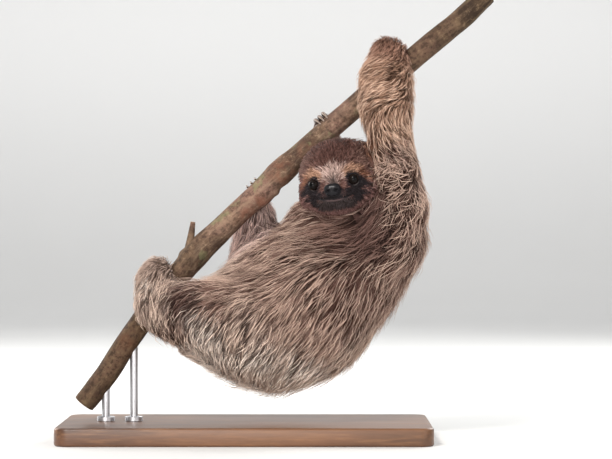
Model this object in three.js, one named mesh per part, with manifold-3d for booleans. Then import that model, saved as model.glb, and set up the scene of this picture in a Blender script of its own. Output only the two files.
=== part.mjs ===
// A young brown-throated three-toed sloth, life size, hanging by its claws under a slanting branch,
// on a plain display stand. The solids reach out to the tips of the coat.
//
// Millimetres. +Z is up. The sloth's left side faces -Y and its head is towards +X.
// The origin is the centre of the underside of the stand's base.

import * as THREE from "three";
import { mergeVertices } from "three/addons/utils/BufferGeometryUtils.js";
import Module from "manifold-3d";

const wasm = await Module();
wasm.setup();

// ---------------------------------------------------------------- driving sizes

const GAP = 0.4; // clearance between neighbouring solids
const TRUNK_CELL = 27; // the grid that the trunk is meshed on
const HEAD_CELL = 10.2;
const SHARE_CELL = 34; // the coarse grid of the shapes that part one limb's share from the trunk
const LIMB_BLEND = 16; // how softly the limbs run into the trunk
const SHARE_MARGIN = 5; // how far past its own surface a limb's share of the body reaches, at its root
const SHARE_FLARE = 0.6; // how much further it reaches with each ball along the limb
const OVERREACH = 1.5; // cells by which the limb's own mesh runs on past its share
const JOINT_REACH = 30; // how far past a ball the disc that parts its limb reaches
const TRUNK_REACH = 60;
const DISC_SIDES = 24;
const TRUNK_FLATNESS = 0.9; // the trunk is this much narrower across than it is deep

// A chain is a row of balls [x, y, z, radius], joined by tapering lengths of limb.
const TRUNK = [
  [131, 0, 199, 49], // withers
  [96, 0, 168, 63], // chest
  [54, 0, 134, 76.5], // belly
  [19, 0, 116, 66], // loins
  [-5, 0, 115, 53], // rump
];
const NECK = {
  chain: [
    [64, -6, 218, 24], // throat
    [100, -14, 240, 30],
    [111, -10, 272, 28], // nape
  ],
  cells: [16],
};
const ARM_LEFT = {
  chain: [
    [143, -32, 200, 38.5], // shoulder
    [155, -44, 232, 25.5],
    [150, -45, 266, 21.5], // elbow
    [143, -38, 298, 21.5],
    [139.5, -27, 330, 27.5], // wrist
    [140, -19, 357, 28],
    [143, -6, 383, 21.5], // knuckles
  ],
  joints: [2, 4],
  cells: [20, 16.5],
};
const ARM_RIGHT = {
  chain: [
    [128, 36, 205, 38],
    [116, 54, 236, 27],
    [108, 60, 262, 23.5], // elbow
    [88, 46, 282, 17],
    [79, 31, 300, 14.5], // wrist
    [80, 18, 314, 13.5], // knuckles
  ],
  joints: [2, 4],
  cells: [18, 12.5],
};
const LEG_LEFT = {
  chain: [
    [3, -34, 115, 49], // hip
    [-43, -44, 127, 34], // knee
    [-66, -40, 128, 31],
    [-83, -29, 135, 27], // ankle
    [-89.5, -17, 157, 20.5],
    [-87, -4, 165, 20], // toes
  ],
  joints: [1, 3],
  cells: [20, 16.5],
};
const LEG_RIGHT = {
  chain: [
    [11, 34, 128, 45], // hip
    [10, 53, 186, 28], // knee
    [10, 46, 205, 24],
    [10, 33, 224, 19], // ankle
    [9, 19, 240, 14], // toes
  ],
  joints: [1, 3],
  cells: [19, 14],
};
const TAIL = {
  chain: [
    [-32, 16, 92, 19],
    [-58, 28, 91, 12],
  ],
  cells: [11],
};

// The head, in its own frame: +x the animal's right, +y forward, +z up, from the middle of the skull.
const HEAD = {
  at: [91, -34, 261.5],
  yaw: -10, // degrees
  pitch: 8, // muzzle lifted
  roll: 8.6,
  lumps: [
    { at: [0, -8, 3.5], radii: [40, 37, 37] }, // skull
    { at: [0, 3, -15], radii: [40.5, 29, 24] }, // cheeks and jaw
    { at: [0, 11, 5], radii: [30, 20, 22] }, // forehead
    { at: [0, 19, -28], radii: [19, 17, 10.5] }, // chin
  ],
  blend: 10,
  neckClearance: 1.6,
};
const MUZZLE = {
  at: [0, 26, -21],
  radii: [18, 15.5, 12.5],
  blend: 5,
  plug: { across: 18, up: 13, back: 20, length: 40, sides: 18 },
};
const NOSE = { at: [0, 40, -18.7], radii: [8.4, 4.6, 6.6] };
const EYE = { across: 20, forward: 27.6, up: -9.2, radius: 5.4 };

const BRANCH = {
  // centreline and radius, from the cut lower end to the cut upper end
  line: [
    [-162, 2, 35.5, 11.2],
    [-140, 0, 64, 11.3],
    [-118, 0, 98, 11.2],
    [-90, 0, 137, 11.6],
    [-62, 0, 170, 12.4],
    [-46, 0, 189, 13.2], // swelling at the old side shoot
    [-16, 0, 218, 11.8],
    [18, 0, 251, 11.6],
    [36, 0, 268, 13], // knot
    [54, 0, 284, 11.6],
    [101, 0, 325.5, 11.3],
    [143, 0, 360.5, 11.2],
    [184, 1, 394.5, 10.9],
    [215, 2, 420, 10.7],
    [241, 4, 445, 10.5],
  ],
  rings: 23,
  sides: 10,
};
const SIDE_SHOOT = { from: [-58, 0, 181], to: [-53, -1, 217], radii: [4.6, 2.6], sides: 8 };

// Claws curl round the branch. Angles run round it from the front (-Y) over the top to the back.
const CLAW = { tip: 0.7, rings: 6, sides: 5 };
const GRIPS = [
  { name: "hand_left", x: 143, spread: 9.5, root: 3.2, from: 98, to: 262, reach: [20, 13.6] },
  { name: "hand_right", x: 84, spread: 5.2, root: 2.3, from: 132, to: 46, reach: [19, 12.6] },
  { name: "foot_left", x: -88, spread: 8, root: 3, from: 100, to: 250, reach: [19, 13.8] },
  { name: "foot_right", x: 14, spread: 6, root: 2.5, from: 190, to: 78, reach: [17.5, 12.8] },
];
const CLAW_SIDES = [-1, 0, 1]; // the three claws of a grip, along the branch

const BASE = { length: 368, depth: 190, height: 18, corner: 14, bevel: 2.5 };
const RODS = [
  { name: "stand_rod_short", x: -140 },
  { name: "stand_rod_long", x: -112 },
];
const ROD = { radius: 4, sides: 14, collarRadius: 9, collarHeight: 4 };

const COLOUR = {
  coat: 0x8f7565,
  paleCoat: 0xa38d7c,
  head: 0x7d5a4c,
  mask: 0x3a3432,
  nose: 0x1d1c20,
  eye: 0x120d0b,
  claw: 0xb9aa94,
  bark: 0x755c45,
  wood: 0x4c3524,
  steel: 0xa7a9ac,
};

// ---------------------------------------------------------------- distance fields

const smoothMin = (a, b, k) => {
  const h = Math.max(k - Math.abs(a - b), 0) / k;
  return Math.min(a, b) - (h * h * k) / 4;
};

// Distance from p to a tapering length of limb between balls a and b.
function limbDistance(p, a, b) {
  const ab = [b[0] - a[0], b[1] - a[1], b[2] - a[2]];
  const ap = [p[0] - a[0], p[1] - a[1], p[2] - a[2]];
  const along = (ap[0] * ab[0] + ap[1] * ab[1] + ap[2] * ab[2]) / (ab[0] ** 2 + ab[1] ** 2 + ab[2] ** 2);
  const t = Math.min(1, Math.max(0, along));
  return Math.hypot(ap[0] - t * ab[0], ap[1] - t * ab[1], ap[2] - t * ab[2]) - (a[3] + t * (b[3] - a[3]));
}

const chainField = (chain, blend = 6) => (p) => {
  let d = limbDistance(p, chain[0], chain[1]);
  for (let i = 2; i < chain.length; i++) d = smoothMin(d, limbDistance(p, chain[i - 1], chain[i]), blend);
  return d;
};

const squashed = (field, flatness) => (p) => field([p[0], p[1] / flatness, p[2]]) * flatness;

const ellipsoidDistance = (p, { at, radii }) => {
  const q = [0, 1, 2].map((i) => (p[i] - at[i]) / radii[i]);
  const r = Math.hypot(...q);
  const steep = Math.hypot(...q.map((v, i) => v / radii[i]));
  return steep < 1e-9 ? -Math.min(...radii) : (r * (r - 1)) / steep;
};

// ---------------------------------------------------------------- meshing a field

const GRID_SHIFTS = Array.from({ length: 30 }, (_, i) => [(i * 0.37) % 1, (i * 0.61) % 1, (i * 0.83) % 1]);

// A closed mesh of the surface where field = 0. The grid is shifted until no two sheets of the surface
// run through one cell and meet along an edge.
function meshField(field, low, high, cell) {
  for (const shift of GRID_SHIFTS) {
    const mesh = netOf(field, low.map((v, axis) => v - shift[axis] * cell), high, cell);
    if (isClosed(mesh.index.array)) return mesh;
  }
  throw new Error(`no grid of ${cell} mm closes this surface`);
}

function isClosed(triangles) {
  const edges = new Map();
  for (let i = 0; i < triangles.length; i++) {
    const [from, to] = [triangles[i], triangles[i % 3 === 2 ? i - 2 : i + 1]];
    if (edges.has(`${from} ${to}`)) return false;
    edges.set(`${from} ${to}`, [to, from]);
  }
  return [...edges.values()].every(([from, to]) => edges.has(`${from} ${to}`));
}

// One vertex to each grid cell that the surface crosses.
function netOf(field, low, high, cell) {
  const n = low.map((l, a) => Math.ceil((high[a] - l) / cell) + 1);
  const corner = (i, j, k) => [low[0] + i * cell, low[1] + j * cell, low[2] + k * cell];
  const index = (i, j, k) => (i * n[1] + j) * n[2] + k;
  const values = new Float64Array(n[0] * n[1] * n[2]);
  for (let i = 0; i < n[0]; i++)
    for (let j = 0; j < n[1]; j++)
      for (let k = 0; k < n[2]; k++) values[index(i, j, k)] = field(corner(i, j, k)) || 1e-9;

  const step = [n[1] * n[2], n[2], 1];
  const cellVertex = new Map();
  const positions = [];
  for (let i = 0; i < n[0] - 1; i++)
    for (let j = 0; j < n[1] - 1; j++)
      for (let k = 0; k < n[2] - 1; k++) {
        const crossings = [];
        for (let axis = 0; axis < 3; axis++)
          for (let side = 0; side < 4; side++) {
            const offset = [0, 0, 0];
            offset[(axis + 1) % 3] = side & 1;
            offset[(axis + 2) % 3] = side >> 1;
            const start = [i + offset[0], j + offset[1], k + offset[2]];
            const a = values[index(...start)];
            const b = values[index(...start) + step[axis]];
            if (a < 0 === b < 0) continue;
            const point = corner(...start);
            point[axis] += (cell * a) / (a - b);
            crossings.push(point);
          }
        if (!crossings.length) continue;
        const mean = [0, 1, 2].map((a) => crossings.reduce((s, c) => s + c[a], 0) / crossings.length);
        cellVertex.set(index(i, j, k), positions.length / 3);
        positions.push(...settle(mean, field, cell));
      }

  const triangles = [];
  const apart = (a, b) =>
    Math.hypot(...[0, 1, 2].map((c) => positions[3 * a + c] - positions[3 * b + c]));
  for (let i = 1; i < n[0] - 1; i++)
    for (let j = 1; j < n[1] - 1; j++)
      for (let k = 1; k < n[2] - 1; k++)
        for (let axis = 0; axis < 3; axis++) {
          const here = index(i, j, k);
          const inside = values[here] < 0;
          if (inside === values[here + step[axis]] < 0) continue;
          const b = step[(axis + 1) % 3];
          const c = step[(axis + 2) % 3];
          const quad = [here - b - c, here - c, here, here - b].map((q) => cellVertex.get(q));
          if (!inside) quad.reverse();
          const [p, q, r, s] = quad;
          if (apart(p, r) < apart(q, s)) triangles.push(p, q, r, p, r, s);
          else triangles.push(p, q, s, q, r, s);
        }
  return new THREE.BufferGeometry()
    .setAttribute("position", new THREE.Float32BufferAttribute(positions, 3))
    .setIndex(triangles);
}

// Slides a point along the field's slope on to its surface, by no more than a third of a cell.
function settle(point, field, cell) {
  const h = 0.05;
  const p = [...point];
  for (let pass = 0; pass < 2; pass++) {
    const d = field(p);
    const slope = [0, 1, 2].map((a) => {
      const q = [...p];
      q[a] += h;
      return (field(q) - d) / h;
    });
    const steep = Math.max(slope[0] ** 2 + slope[1] ** 2 + slope[2] ** 2, 0.2);
    for (let a = 0; a < 3; a++) p[a] -= (d * slope[a]) / steep;
  }
  const moved = Math.hypot(p[0] - point[0], p[1] - point[1], p[2] - point[2]);
  const share = Math.min(1, cell / 3 / (moved || 1));
  return point.map((v, a) => v + (p[a] - v) * share);
}

// ---------------------------------------------------------------- solids

function solidOf(geometry) {
  const bare = new THREE.BufferGeometry().setAttribute("position", geometry.getAttribute("position"));
  bare.setIndex(geometry.index);
  const merged = mergeVertices(bare, 1e-3);
  return new wasm.Manifold(
    new wasm.Mesh({
      numProp: 3,
      vertProperties: merged.attributes.position.array,
      triVerts: new Uint32Array(merged.index.array),
    }),
  );
}

function geometryOf(solid) {
  const mesh = solid.getMesh();
  const geometry = new THREE.BufferGeometry()
    .setAttribute("position", new THREE.BufferAttribute(mesh.vertProperties.slice(), 3))
    .setIndex(new THREE.BufferAttribute(mesh.triVerts.slice(), 1));
  const flat = geometry.toNonIndexed();
  flat.computeVertexNormals();
  return flat;
}

const largestBody = (solid) =>
  solid.decompose().reduce((best, body) => (body.volume() > best.volume() ? body : best));

// Pushes every vertex out along its normal.
function swollen(geometry, by) {
  const grown = geometry.clone();
  grown.computeVertexNormals();
  const [at, normal] = [grown.getAttribute("position"), grown.getAttribute("normal")];
  for (let i = 0; i < at.count; i++) {
    const point = new THREE.Vector3().fromBufferAttribute(at, i);
    point.addScaledVector(new THREE.Vector3().fromBufferAttribute(normal, i), by);
    at.setXYZ(i, point.x, point.y, point.z);
  }
  return grown;
}

// A round bar through points [x, y, z, radius], with flat ends.
function bar(points, sides) {
  const positions = [];
  const triangles = [];
  const centre = points.map((p) => new THREE.Vector3(p[0], p[1], p[2]));
  const across = new THREE.Vector3(0, 1, 0);
  points.forEach((p, ring) => {
    const before = centre[Math.max(0, ring - 1)];
    const after = centre[Math.min(points.length - 1, ring + 1)];
    const along = after.clone().sub(before).normalize();
    const u = across.clone().addScaledVector(along, -across.dot(along)).normalize();
    const v = along.clone().cross(u);
    for (let s = 0; s < sides; s++) {
      const angle = (2 * Math.PI * s) / sides;
      const q = centre[ring]
        .clone()
        .addScaledVector(u, p[3] * Math.cos(angle))
        .addScaledVector(v, p[3] * Math.sin(angle));
      positions.push(q.x, q.y, q.z);
    }
    across.copy(u);
  });
  const last = points.length - 1;
  for (let ring = 0; ring < last; ring++)
    for (let s = 0; s < sides; s++) {
      const a = ring * sides + s;
      const b = ring * sides + ((s + 1) % sides);
      triangles.push(a, b, b + sides, a, b + sides, a + sides);
    }
  for (let s = 1; s < sides - 1; s++) {
    triangles.push(0, s + 1, s);
    triangles.push(last * sides, last * sides + s, last * sides + s + 1);
  }
  return new THREE.BufferGeometry()
    .setAttribute("position", new THREE.Float32BufferAttribute(positions, 3))
    .setIndex(triangles);
}

// Samples a row of [x, y, z, radius] as one smooth curve.
function smoothRow(row, count, widen = 0) {
  const path = new THREE.CatmullRomCurve3(row.map((p) => new THREE.Vector3(p[0], p[1], p[2])));
  const girth = new THREE.CatmullRomCurve3(row.map((p) => new THREE.Vector3(p[3], 0, 0)));
  return Array.from({ length: count }, (_, i) => {
    const t = i / (count - 1);
    const at = path.getPoint(t);
    return [at.x, at.y, at.z, girth.getPoint(t).x + widen];
  });
}

// A thin disc that parts a limb at one ball of its chain, square to the limb.
function partingDisc(chain, at, reach) {
  const [before, here, after] = [-1, 0, 1].map((i) => new THREE.Vector3(...chain[at + i].slice(0, 3)));
  const along = after.sub(before).normalize();
  const radius = chain[at][3] + reach;
  const disc = new THREE.CylinderGeometry(radius, radius, GAP, DISC_SIDES);
  disc.applyQuaternion(new THREE.Quaternion().setFromUnitVectors(new THREE.Vector3(0, 1, 0), along));
  disc.translate(here.x, here.y, here.z);
  return { disc: solidOf(disc), along, here };
}

// Splits a solid at a ball of its chain: the share before it and the share after it.
function partAt(solid, chain, at, reach = JOINT_REACH) {
  const { disc, along, here } = partingDisc(chain, at, reach);
  const bodies = solid.subtract(disc).decompose();
  const shares = [[], []];
  for (const body of bodies) {
    const box = body.boundingBox();
    const middle = new THREE.Vector3(...[0, 1, 2].map((a) => (box.min[a] + box.max[a]) / 2));
    shares[middle.sub(here).dot(along) > 0 ? 1 : 0].push(body);
  }
  return shares.map((share) => share.reduce((best, b) => (b.volume() > best.volume() ? b : best)));
}

// ---------------------------------------------------------------- the branch and its grips

const branchRow = smoothRow(BRANCH.line, BRANCH.rings);

function branchSolid(widen = 0) {
  const row = branchRow.map(([x, y, z, r]) => [x, y, z, r + widen]);
  const shoot = [
    [...SIDE_SHOOT.from, SIDE_SHOOT.radii[0] + widen],
    [...SIDE_SHOOT.to, SIDE_SHOOT.radii[1] + widen],
  ];
  return solidOf(bar(row, BRANCH.sides)).add(solidOf(bar(shoot, SIDE_SHOOT.sides)));
}

// The branch's middle at a given x, and the directions along it and up from it.
function branchFrame(x) {
  const next = branchRow.findIndex((p) => p[0] > x);
  const [a, b] = [branchRow[next - 1], branchRow[next]];
  const t = (x - a[0]) / (b[0] - a[0]);
  const along = new THREE.Vector3(b[0] - a[0], b[1] - a[1], b[2] - a[2]).normalize();
  const front = new THREE.Vector3(0, -1, 0);
  const top = front.clone().cross(along).negate().normalize();
  if (top.z < 0) top.negate();
  const middle = new THREE.Vector3(...[0, 1, 2].map((i) => a[i] + t * (b[i] - a[i])));
  return { middle, along, front, top };
}

// One claw: an arc that closes in on the branch towards its tip.
function clawRow(grip, side) {
  const { middle, along, front, top } = branchFrame(grip.x);
  return Array.from({ length: CLAW.rings }, (_, i) => {
    const t = i / (CLAW.rings - 1);
    const angle = THREE.MathUtils.degToRad(grip.from + t * (grip.to - grip.from));
    const reach = grip.reach[0] + Math.pow(t, 0.8) * (grip.reach[1] - grip.reach[0]);
    const at = middle
      .clone()
      .addScaledVector(along, side * grip.spread * (1 - 0.12 * t))
      .addScaledVector(front, reach * Math.cos(angle))
      .addScaledVector(top, reach * Math.sin(angle));
    return [at.x, at.y, at.z, grip.root + Math.pow(t, 1.3) * (CLAW.tip - grip.root)];
  });
}

// ---------------------------------------------------------------- the body

const trunkField = squashed(chainField(TRUNK, 20), TRUNK_FLATNESS);

// The trunk with some of its limbs, all run together.
function bodyField(limbChains) {
  const limbFields = limbChains.map((chain) => chainField(chain));
  return (p) => limbFields.reduce((d, limb) => smoothMin(d, limb(p), LIMB_BLEND), trunkField(p));
}
const LIMBS = [ARM_LEFT, ARM_RIGHT, LEG_LEFT, LEG_RIGHT, TAIL, NECK];
const wholeField = bodyField(LIMBS.map((limb) => limb.chain));
const rootsField = bodyField(LIMBS.map((limb) => limb.chain.slice(0, 3)));

const headTurn = new THREE.Matrix4()
  .makeRotationY(-THREE.MathUtils.degToRad(HEAD.roll))
  .multiply(new THREE.Matrix4().makeRotationZ(THREE.MathUtils.degToRad(180 + HEAD.yaw)))
  .multiply(new THREE.Matrix4().makeRotationX(THREE.MathUtils.degToRad(HEAD.pitch)))
  .setPosition(...HEAD.at);

const headField = (p) =>
  HEAD.lumps.reduce((d, lump) => smoothMin(d, ellipsoidDistance(p, lump), HEAD.blend), Infinity);
const faceField = (p) => smoothMin(headField(p), ellipsoidDistance(p, MUZZLE), MUZZLE.blend);
const HEAD_LOW = [-54, -60, -52];
const HEAD_HIGH = [54, 60, 56];
const COARSE_HEAD = 1.2; // the grid of the head's hollow in the neck, against the head's own
const BALL_DETAIL = 1;

const headGeometry = (cell = HEAD_CELL) =>
  meshField(faceField, HEAD_LOW, HEAD_HIGH, cell).applyMatrix4(headTurn);

// A ball or egg shape, placed in the head's frame.
function ball({ at, radii }, widen = 0) {
  const geometry = new THREE.IcosahedronGeometry(1, BALL_DETAIL);
  geometry.deleteAttribute("normal").deleteAttribute("uv");
  geometry.scale(radii[0] + widen, radii[1] + widen, radii[2] + widen).translate(...at);
  return mergeVertices(geometry, 1e-4).applyMatrix4(headTurn);
}

// An oval plug, run in from in front of the face, that the muzzle is cut out with.
function muzzlePlug(widen) {
  const { across, up, back, length, sides } = MUZZLE.plug;
  const plug = new THREE.CylinderGeometry(1, 1, length, sides);
  plug.deleteAttribute("uv").deleteAttribute("normal");
  plug.scale(across + widen, 1, up + widen);
  plug.translate(MUZZLE.at[0], back - widen + length / 2, MUZZLE.at[2]);
  return mergeVertices(plug, 1e-4).applyMatrix4(headTurn);
}

const chainBox = (chain, margin) => [
  [0, 1, 2].map((a) => Math.min(...chain.map((p) => p[a] - p[3])) - margin),
  [0, 1, 2].map((a) => Math.max(...chain.map((p) => p[a] + p[3])) + margin),
];

// Everything within reach of one limb's chain. It parts that limb's share of the body from the rest.
function shareGeometry(chain) {
  const loose = chain.map(([x, y, z, r], i) => [x, y, z, r + SHARE_MARGIN * (1 + SHARE_FLARE * i)]);
  return meshField(chainField(loose), ...chainBox(loose, 2 * SHARE_CELL), SHARE_CELL);
}

// The body's own surface near one limb, on that limb's finer grid.
function limbGeometry(chain, cell) {
  const near = chainField(chain);
  const field = (p) => Math.max(wholeField(p), near(p) - SHARE_MARGIN - OVERREACH * cell);
  return meshField(field, ...chainBox(chain, SHARE_MARGIN + 4 * cell), cell);
}

function buildBody() {
  const parts = {};
  const branch = branchSolid(GAP);
  const claws = GRIPS.flatMap((grip) =>
    CLAW_SIDES.map((side) => ({
      name: `claw_${grip.name}_${side + 2}`,
      geometry: bar(clawRow(grip, side), CLAW.sides),
    })),
  );
  const headHollow = swollen(headGeometry(HEAD_CELL * COARSE_HEAD), HEAD.neckClearance);
  const hollows = [branch, solidOf(headHollow)];
  for (const claw of claws) hollows.push(solidOf(swollen(claw.geometry, GAP)));
  const clear = (solid) => hollows.reduce((left, hollow) => left.subtract(hollow), solid);

  const rootsBox = chainBox([TRUNK, ...LIMBS.map((limb) => limb.chain.slice(0, 3))].flat(), 2 * TRUNK_CELL);
  let rest = clear(solidOf(meshField(rootsField, ...rootsBox, TRUNK_CELL)));

  const taken = [];
  const take = ({ chain, cells }) => {
    const share = shareGeometry(chain);
    const lengths = cells.map((cell) => {
      const own = solidOf(limbGeometry(chain, cell)).intersect(solidOf(share));
      return largestBody(taken.reduce((solid, other) => solid.subtract(other), own));
    });
    taken.push(solidOf(swollen(share, GAP)));
    rest = largestBody(rest.subtract(taken.at(-1)));
    return lengths;
  };
  const limbNames = [
    [ARM_LEFT, "upper_arm_left", "forearm_left", "hand_left"],
    [ARM_RIGHT, "upper_arm_right", "forearm_right", "hand_right"],
    [LEG_LEFT, "thigh_left", "shank_left", "foot_left"],
    [LEG_RIGHT, "thigh_right", "shank_right", "foot_right"],
  ];
  for (const [limb, upper, middle, end] of limbNames) {
    const [coarse, fine] = take(limb);
    const [first] = partAt(coarse, limb.chain, limb.joints[0]);
    const [, beyond] = partAt(fine, limb.chain, limb.joints[0]);
    const [second, third] = partAt(beyond, limb.chain, limb.joints[1]);
    Object.assign(parts, { [upper]: first, [middle]: second, [end]: third });
  }
  [parts.tail] = take(TAIL);
  [parts.neck] = take(NECK);
  const [chest, behind] = partAt(rest, TRUNK, 2, TRUNK_REACH);
  const [belly, rump] = partAt(behind, TRUNK, 3, TRUNK_REACH);
  Object.assign(parts, { chest, belly, rump });
  for (const name of Object.keys(parts)) parts[name] = largestBody(clear(parts[name]));

  const eyeAt = (side) => ({
    at: [side * EYE.across, EYE.forward, EYE.up],
    radii: [EYE.radius, EYE.radius, EYE.radius],
  });
  const sides = { eye_left: -1, eye_right: 1 };
  let skull = solidOf(headGeometry());
  for (const [name, side] of Object.entries(sides)) {
    parts[name] = solidOf(ball(eyeAt(side)));
    skull = skull.subtract(solidOf(ball(eyeAt(side), GAP)));
  }
  parts.nose = solidOf(ball(NOSE));
  skull = skull.subtract(solidOf(ball(NOSE, GAP))).subtract(branch);
  parts.muzzle = largestBody(skull.intersect(solidOf(muzzlePlug(0))));
  parts.head = largestBody(skull.subtract(solidOf(muzzlePlug(GAP))));

  for (const claw of claws) parts[claw.name] = solidOf(claw.geometry);
  parts.branch = branchSolid();
  return parts;
}

// ---------------------------------------------------------------- the stand

function baseGeometry() {
  const { length, depth, height, corner, bevel } = BASE;
  const [x, y] = [length / 2 - bevel, depth / 2 - bevel];
  const shape = new THREE.Shape();
  shape.moveTo(-x + corner, -y);
  shape.lineTo(x - corner, -y).absarc(x - corner, -y + corner, corner, -Math.PI / 2, 0);
  shape.lineTo(x, y - corner).absarc(x - corner, y - corner, corner, 0, Math.PI / 2);
  shape.lineTo(-x + corner, y).absarc(-x + corner, y - corner, corner, Math.PI / 2, Math.PI);
  shape.lineTo(-x, -y + corner).absarc(-x + corner, -y + corner, corner, Math.PI, 1.5 * Math.PI);
  return new THREE.ExtrudeGeometry(shape, {
    depth: height - 2 * bevel,
    bevelThickness: bevel,
    bevelSize: bevel,
    bevelSegments: 1,
    curveSegments: 3,
  }).translate(0, 0, bevel);
}

// A rod with a low collar at its foot, cut to the underside of the branch.
function rodSolid(x) {
  const foot = BASE.height + GAP;
  const { middle } = branchFrame(x);
  const profile = [
    [0, 0],
    [ROD.collarRadius, 0],
    [ROD.collarRadius, ROD.collarHeight],
    [ROD.radius, ROD.collarHeight + 1],
    [ROD.radius, middle.z - foot],
    [0, middle.z - foot],
  ].map(([r, h]) => new THREE.Vector2(r, h));
  const rod = new THREE.LatheGeometry(profile, ROD.sides);
  rod.rotateX(Math.PI / 2).translate(x, middle.y, foot);
  return largestBody(solidOf(rod).subtract(branchSolid(GAP)));
}

// ---------------------------------------------------------------- assembly

function material(name) {
  const soft = (color) => new THREE.MeshStandardMaterial({ color, roughness: 0.85, metalness: 0 });
  if (name.startsWith("claw")) return new THREE.MeshStandardMaterial({ color: COLOUR.claw, roughness: 0.45 });
  if (name.startsWith("eye")) return new THREE.MeshStandardMaterial({ color: COLOUR.eye, roughness: 0.08 });
  if (name.startsWith("hand") || name.startsWith("foot")) return soft(COLOUR.paleCoat);
  if (name.startsWith("stand_rod")) {
    return new THREE.MeshStandardMaterial({ color: COLOUR.steel, roughness: 0.3, metalness: 1 });
  }
  const own = {
    head: COLOUR.head,
    muzzle: COLOUR.mask,
    nose: COLOUR.nose,
    branch: COLOUR.bark,
    stand_base: COLOUR.wood,
  };
  return soft(own[name] ?? COLOUR.coat);
}

const sloth = new THREE.Group();
const solids = buildBody();
for (const rod of RODS) solids[rod.name] = rodSolid(rod.x);
solids.stand_base = solidOf(baseGeometry());
for (const [name, solid] of Object.entries(solids)) {
  const mesh = new THREE.Mesh(geometryOf(solid), material(name));
  mesh.name = name;
  sloth.add(mesh);
}

export default sloth;
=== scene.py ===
import math

import bpy
import numpy as np
from mathutils import Matrix, Vector, noise
from mathutils.kdtree import KDTree


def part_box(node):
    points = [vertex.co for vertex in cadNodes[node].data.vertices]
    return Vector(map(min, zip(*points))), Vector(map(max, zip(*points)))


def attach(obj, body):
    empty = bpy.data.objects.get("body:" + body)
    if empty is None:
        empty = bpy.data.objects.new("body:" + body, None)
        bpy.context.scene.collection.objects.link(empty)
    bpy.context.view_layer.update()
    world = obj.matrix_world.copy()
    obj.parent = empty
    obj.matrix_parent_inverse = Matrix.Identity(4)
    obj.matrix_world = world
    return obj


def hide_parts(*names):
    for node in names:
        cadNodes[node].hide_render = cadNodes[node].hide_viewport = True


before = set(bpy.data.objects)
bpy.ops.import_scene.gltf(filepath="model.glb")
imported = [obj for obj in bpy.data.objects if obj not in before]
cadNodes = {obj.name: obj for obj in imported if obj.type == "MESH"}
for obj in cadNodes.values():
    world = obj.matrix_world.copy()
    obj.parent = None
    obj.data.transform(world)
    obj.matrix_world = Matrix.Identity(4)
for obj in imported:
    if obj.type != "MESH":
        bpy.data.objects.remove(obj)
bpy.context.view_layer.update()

mm = 0.001

# The camera looks level along +Y at the middle of the frame, from 2.5 m away.
shot = {"aim": (0.060, 0.0, 0.2095), "distance": 2.5, "width": 0.612, "sensor": 36.0}


def makeCamera():
    x, y, z = shot["aim"]
    place = (x, y - shot["distance"], z)
    bpy.ops.object.camera_add(location=place, rotation=(math.radians(90), 0, 0))
    camera = bpy.context.object
    camera.name = "camera"
    camera.data.sensor_width = shot["sensor"]
    camera.data.lens = shot["sensor"] * shot["distance"] / shot["width"]
    bpy.context.scene.camera = camera


makeCamera()
print("camera placed")


# Shader maths: a Shade is a socket that can be used in Python expressions.
class Shade:
    def __init__(self, tree, socket=None):
        self.tree = tree
        self.socket = socket

    def node(self, kind, settings=None, inputs=None, out=0):
        made = self.tree.nodes.new(kind)
        for name, value in (settings or {}).items():
            setattr(made, name, value)
        for name, value in (inputs or {}).items():
            if isinstance(value, Shade):
                self.tree.links.new(value.socket, made.inputs[name])
            else:
                made.inputs[name].default_value = value
        return Shade(self.tree, made.outputs[out])

    def math(self, operation, a, b):
        return self.node("ShaderNodeMath", {"operation": operation}, {0: a, 1: b})

    def __add__(self, other):
        return self.math("ADD", self, other)

    def __radd__(self, other):
        return self.math("ADD", other, self)

    def __sub__(self, other):
        return self.math("SUBTRACT", self, other)

    def __rsub__(self, other):
        return self.math("SUBTRACT", other, self)

    def __mul__(self, other):
        return self.math("MULTIPLY", self, other)

    def __rmul__(self, other):
        return self.math("MULTIPLY", other, self)

    def steps(self, low, high, a=0.0, b=1.0):
        values = {"Value": self, "From Min": low, "From Max": high, "To Min": a, "To Max": b}
        return self.node("ShaderNodeMapRange", {"interpolation_type": "SMOOTHSTEP"}, values)

    def mix(self, factor, a, b, blend="MIX"):
        settings = {"data_type": "RGBA", "blend_type": blend, "clamp_factor": True}
        return self.node("ShaderNodeMix", settings, {0: factor, 6: a, 7: b}, 2)

    # Lays colours over one another, each row with its share and its colour.
    def layers(self, colour, *rows):
        for factor, over in rows:
            colour = self.mix(factor, colour, over)
        return colour

    def noise(self, place, scale, detail=3.0, roughness=0.5):
        values = {"Vector": place, "Scale": scale, "Detail": detail, "Roughness": roughness}
        return self.node("ShaderNodeTexNoise", {}, values)

    def cells(self, place, scale):
        return self.node("ShaderNodeTexVoronoi", {}, {"Vector": place, "Scale": scale})

    def stretched(self, place, scale):
        return self.node("ShaderNodeMapping", {}, {"Vector": place, "Scale": scale})

    def attribute(self, name, out=2):
        return self.node("ShaderNodeAttribute", {"attribute_name": name}, {}, out)

    def bump(self, height, strength, distance):
        values = {"Height": height, "Strength": strength, "Distance": distance}
        return self.node("ShaderNodeBump", {}, values)


def makeMaterial(name, look, fixed):
    material = bpy.data.materials.new(name)
    material.use_nodes = True
    tree = material.node_tree
    shader = tree.nodes["Principled BSDF"]
    for socket, value in fixed.items():
        shader.inputs[socket].default_value = value
    base = Shade(tree)
    place = base.node("ShaderNodeTexCoord", {}, {}, 3)
    for socket, shade in look(base, place).items():
        tree.links.new(shade.socket, shader.inputs[socket])
    return material


def rgb(*values):
    values = np.array(values) / 255.0
    linear = np.where(values <= 0.04045, values / 12.92, ((values + 0.055) / 1.055) ** 2.4)
    return tuple(float(v) for v in linear)


def solid(*values):
    return rgb(*values) + (1,)


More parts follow.
